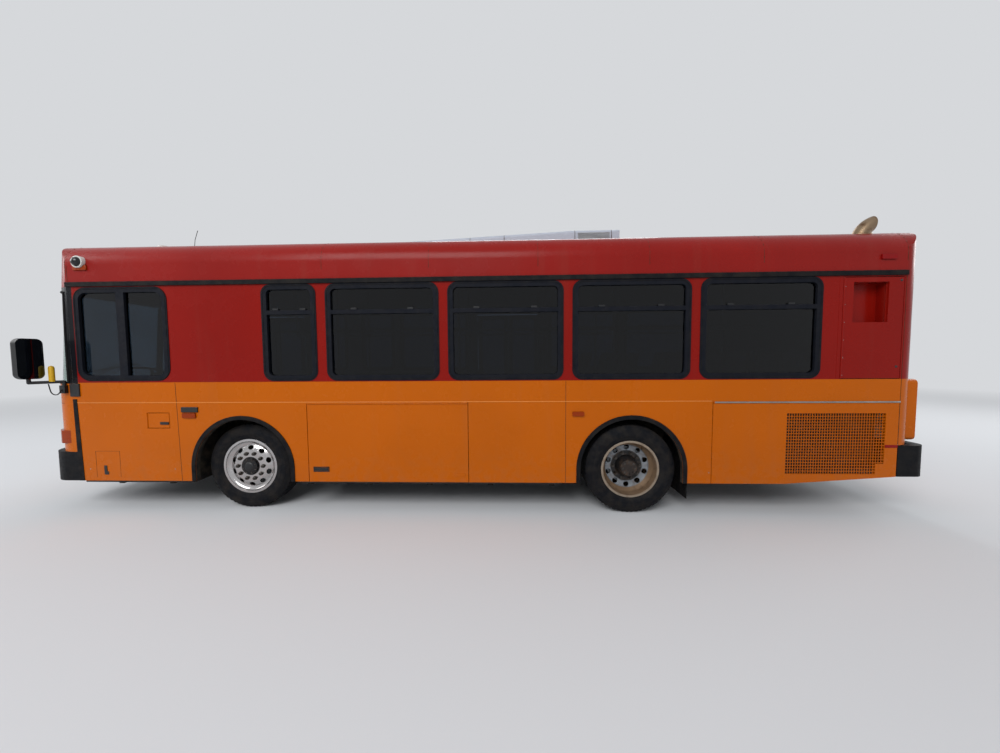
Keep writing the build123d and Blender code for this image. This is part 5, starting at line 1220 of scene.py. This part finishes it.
rings, dials = bmesh.new(), bmesh.new()
for y, radius in ((-0.10, 0.055), (0.10, 0.055), (0, 0.032)):
    centre = Vector((front_axle_x + 1.72, seat.y + y, 1.2405))
    inner = radius - 0.008
    add_turned(rings, centre, UP, [(0, radius), (0.012, radius), (0.012, inner), (0, inner)], 28)
    add_turned(dials, centre, UP, [(0.003, inner), (0.003, 0)], 28, closed=False)
build("dash_dial_rings", rings, CHROME, smooth=50)
build("dash_dials", dials, DARK_LENS)
switches = [(-1.66 + 0.034 * row, seat.y - 0.30 + 0.034 * i) for i in range(7) for row in range(2)]
rows = [((s, s + 0.026), (y, y + 0.026), (1.2395, 1.249)) for s, y in switches]
box_piece("dash_switches", rows, BLACK_PLASTIC, 0.002)

collar = bmesh.new()
add_turned(collar, Vector((0, 0, -0.022)), UP, [(0, 0.0165), (0, 0.0215), (0.044, 0.0215), (0.044, 0.0165)], 20)
rail_y, rail_z = side_y - 0.795, 1.99
tees = []
for side in SIDES:
    for s in (0.700, 2.240, 3.300, 4.155, 5.465):
        tees.append(Matrix.Translation(spot(s, side * rail_y, rail_z)))
        tees += [facing(spot(s + step, side * rail_y, rail_z), (1, 0, 0)) for step in (-0.034, 0.034)]
copies("rail_joints", collar, tees, BLACK_PLASTIC)

# Camera, from a pinhole fit to the photograph
CAMERA_PLACE = Vector((-0.4992, 5.0686, 1.6744))
CAMERA_YAW, CAMERA_PITCH, CAMERA_ROLL = -0.0351, 0.0579, -0.0072
turns = (Matrix.Rotation(CAMERA_YAW, 3, "Y") @ Matrix.Rotation(CAMERA_PITCH, 3, "X")
         @ Matrix.Rotation(CAMERA_ROLL, 3, "Z"))
axes = [turns.col[i] for i in range(3)]
right, up, forward = [Vector((-axis.x, -axis.z, axis.y)) for axis in axes]
camera = link("camera", bpy.data.cameras.new("camera"))
camera.data.sensor_width = 36
camera.data.lens = 13.14
camera.data.clip_start = 0.05
camera.data.clip_end = 200
camera.matrix_world = Matrix.Translation(CAMERA_PLACE) @ Matrix((right, up, -forward)).transposed().to_4x4()
bpy.context.scene.camera = camera
bpy.context.scene.view_settings.view_transform = "Standard"

# Pale floor, soft studio light
BACKDROP = linear(214, 216, 219)


def seen_directly(tree):
    """One for what the camera, metal or glass shows, zero for light that falls on the object."""
    path = tree.nodes.new("ShaderNodeLightPath")
    share = path.outputs["Is Camera Ray"]
    for ray in ("Is Glossy Ray", "Is Transmission Ray"):
        either = tree.nodes.new("ShaderNodeMath")
        either.operation = "MAXIMUM"
        tree.links.new(share, either.inputs[0])
        tree.links.new(path.outputs[ray], either.inputs[1])
        share = either.outputs["Value"]
    return share


def studio_floor(reach=60, near=9.0, far=24.0):
    """A wide floor that takes the object's shadow and turns into the backdrop further out."""
    mesh = bpy.data.meshes.new("studio_floor")
    corners = [(-reach, -reach, 0), (reach, -reach, 0), (reach, reach, 0), (-reach, reach, 0)]
    mesh.from_pydata(corners, [], [(0, 1, 2, 3)])
    floor = link("studio_floor", mesh)
    finish = Finish("studio_floor")
    distance = finish.add("ShaderNodeVectorMath", {"operation": "LENGTH"}, Vector=finish.place).outputs["Value"]
    share = finish.calc("MULTIPLY", finish.spread(distance, near, far), seen_directly(finish.tree))
    finish.set(Base_Color=BACKDROP, Roughness=0.9, Specular_IOR_Level=0.1)
    glow = finish.add("ShaderNodeEmission", Color=BACKDROP, Strength=1.0)
    blend = finish.add("ShaderNodeMixShader", Fac=share)
    finish.tree.links.new(finish.shader.outputs["BSDF"], blend.inputs[1])
    finish.tree.links.new(glow.outputs["Emission"], blend.inputs[2])
    finish.tree.links.new(blend.outputs["Shader"], finish.tree.nodes["Material Output"].inputs["Surface"])
    mesh.materials.append(finish.material)


def studio_lamp(name, place, target, size, power):
    """A large soft lamp that looks at a place."""
    light = bpy.data.lights.new(name, "AREA")
    light.shape = "RECTANGLE"
    light.size, light.size_y = size
    light.energy = power
    lamp = link(name, light)
    turn = (Vector(target) - Vector(place)).to_track_quat("-Z", "Y").to_matrix().to_4x4()
    lamp.matrix_world = Matrix.Translation(Vector(place)) @ turn


def studio_world(colour, level):
    """Even light at a low level, in front of a plain pale background."""
    world = bpy.data.worlds.new("studio")
    bpy.context.scene.world = world
    world.use_nodes = True
    tree = world.node_tree
    background = tree.nodes["Background"]
    shown = tree.nodes.new("ShaderNodeMapRange")
    shown.inputs["To Min"].default_value = level
    tree.links.new(seen_directly(tree), shown.inputs["Value"])
    tree.links.new(shown.outputs["Result"], background.inputs["Strength"])
    background.inputs["Color"].default_value = (*colour, 1)


studio_floor()
studio_world(BACKDROP, 0.62)
studio_lamp("key", (4, 13, 11), (0, 0, 1.2), (11, 7), 1500)
studio_lamp("right_side", (-2, -14, 10), (0, 0, 1.2), (12, 7), 1000)
studio_lamp("front_end", (15, 3, 7), (0, 0, 1.2), (8, 6), 500)
studio_lamp("rear_end", (-15, -2, 7), (0, 0, 1.2), (8, 6), 500)
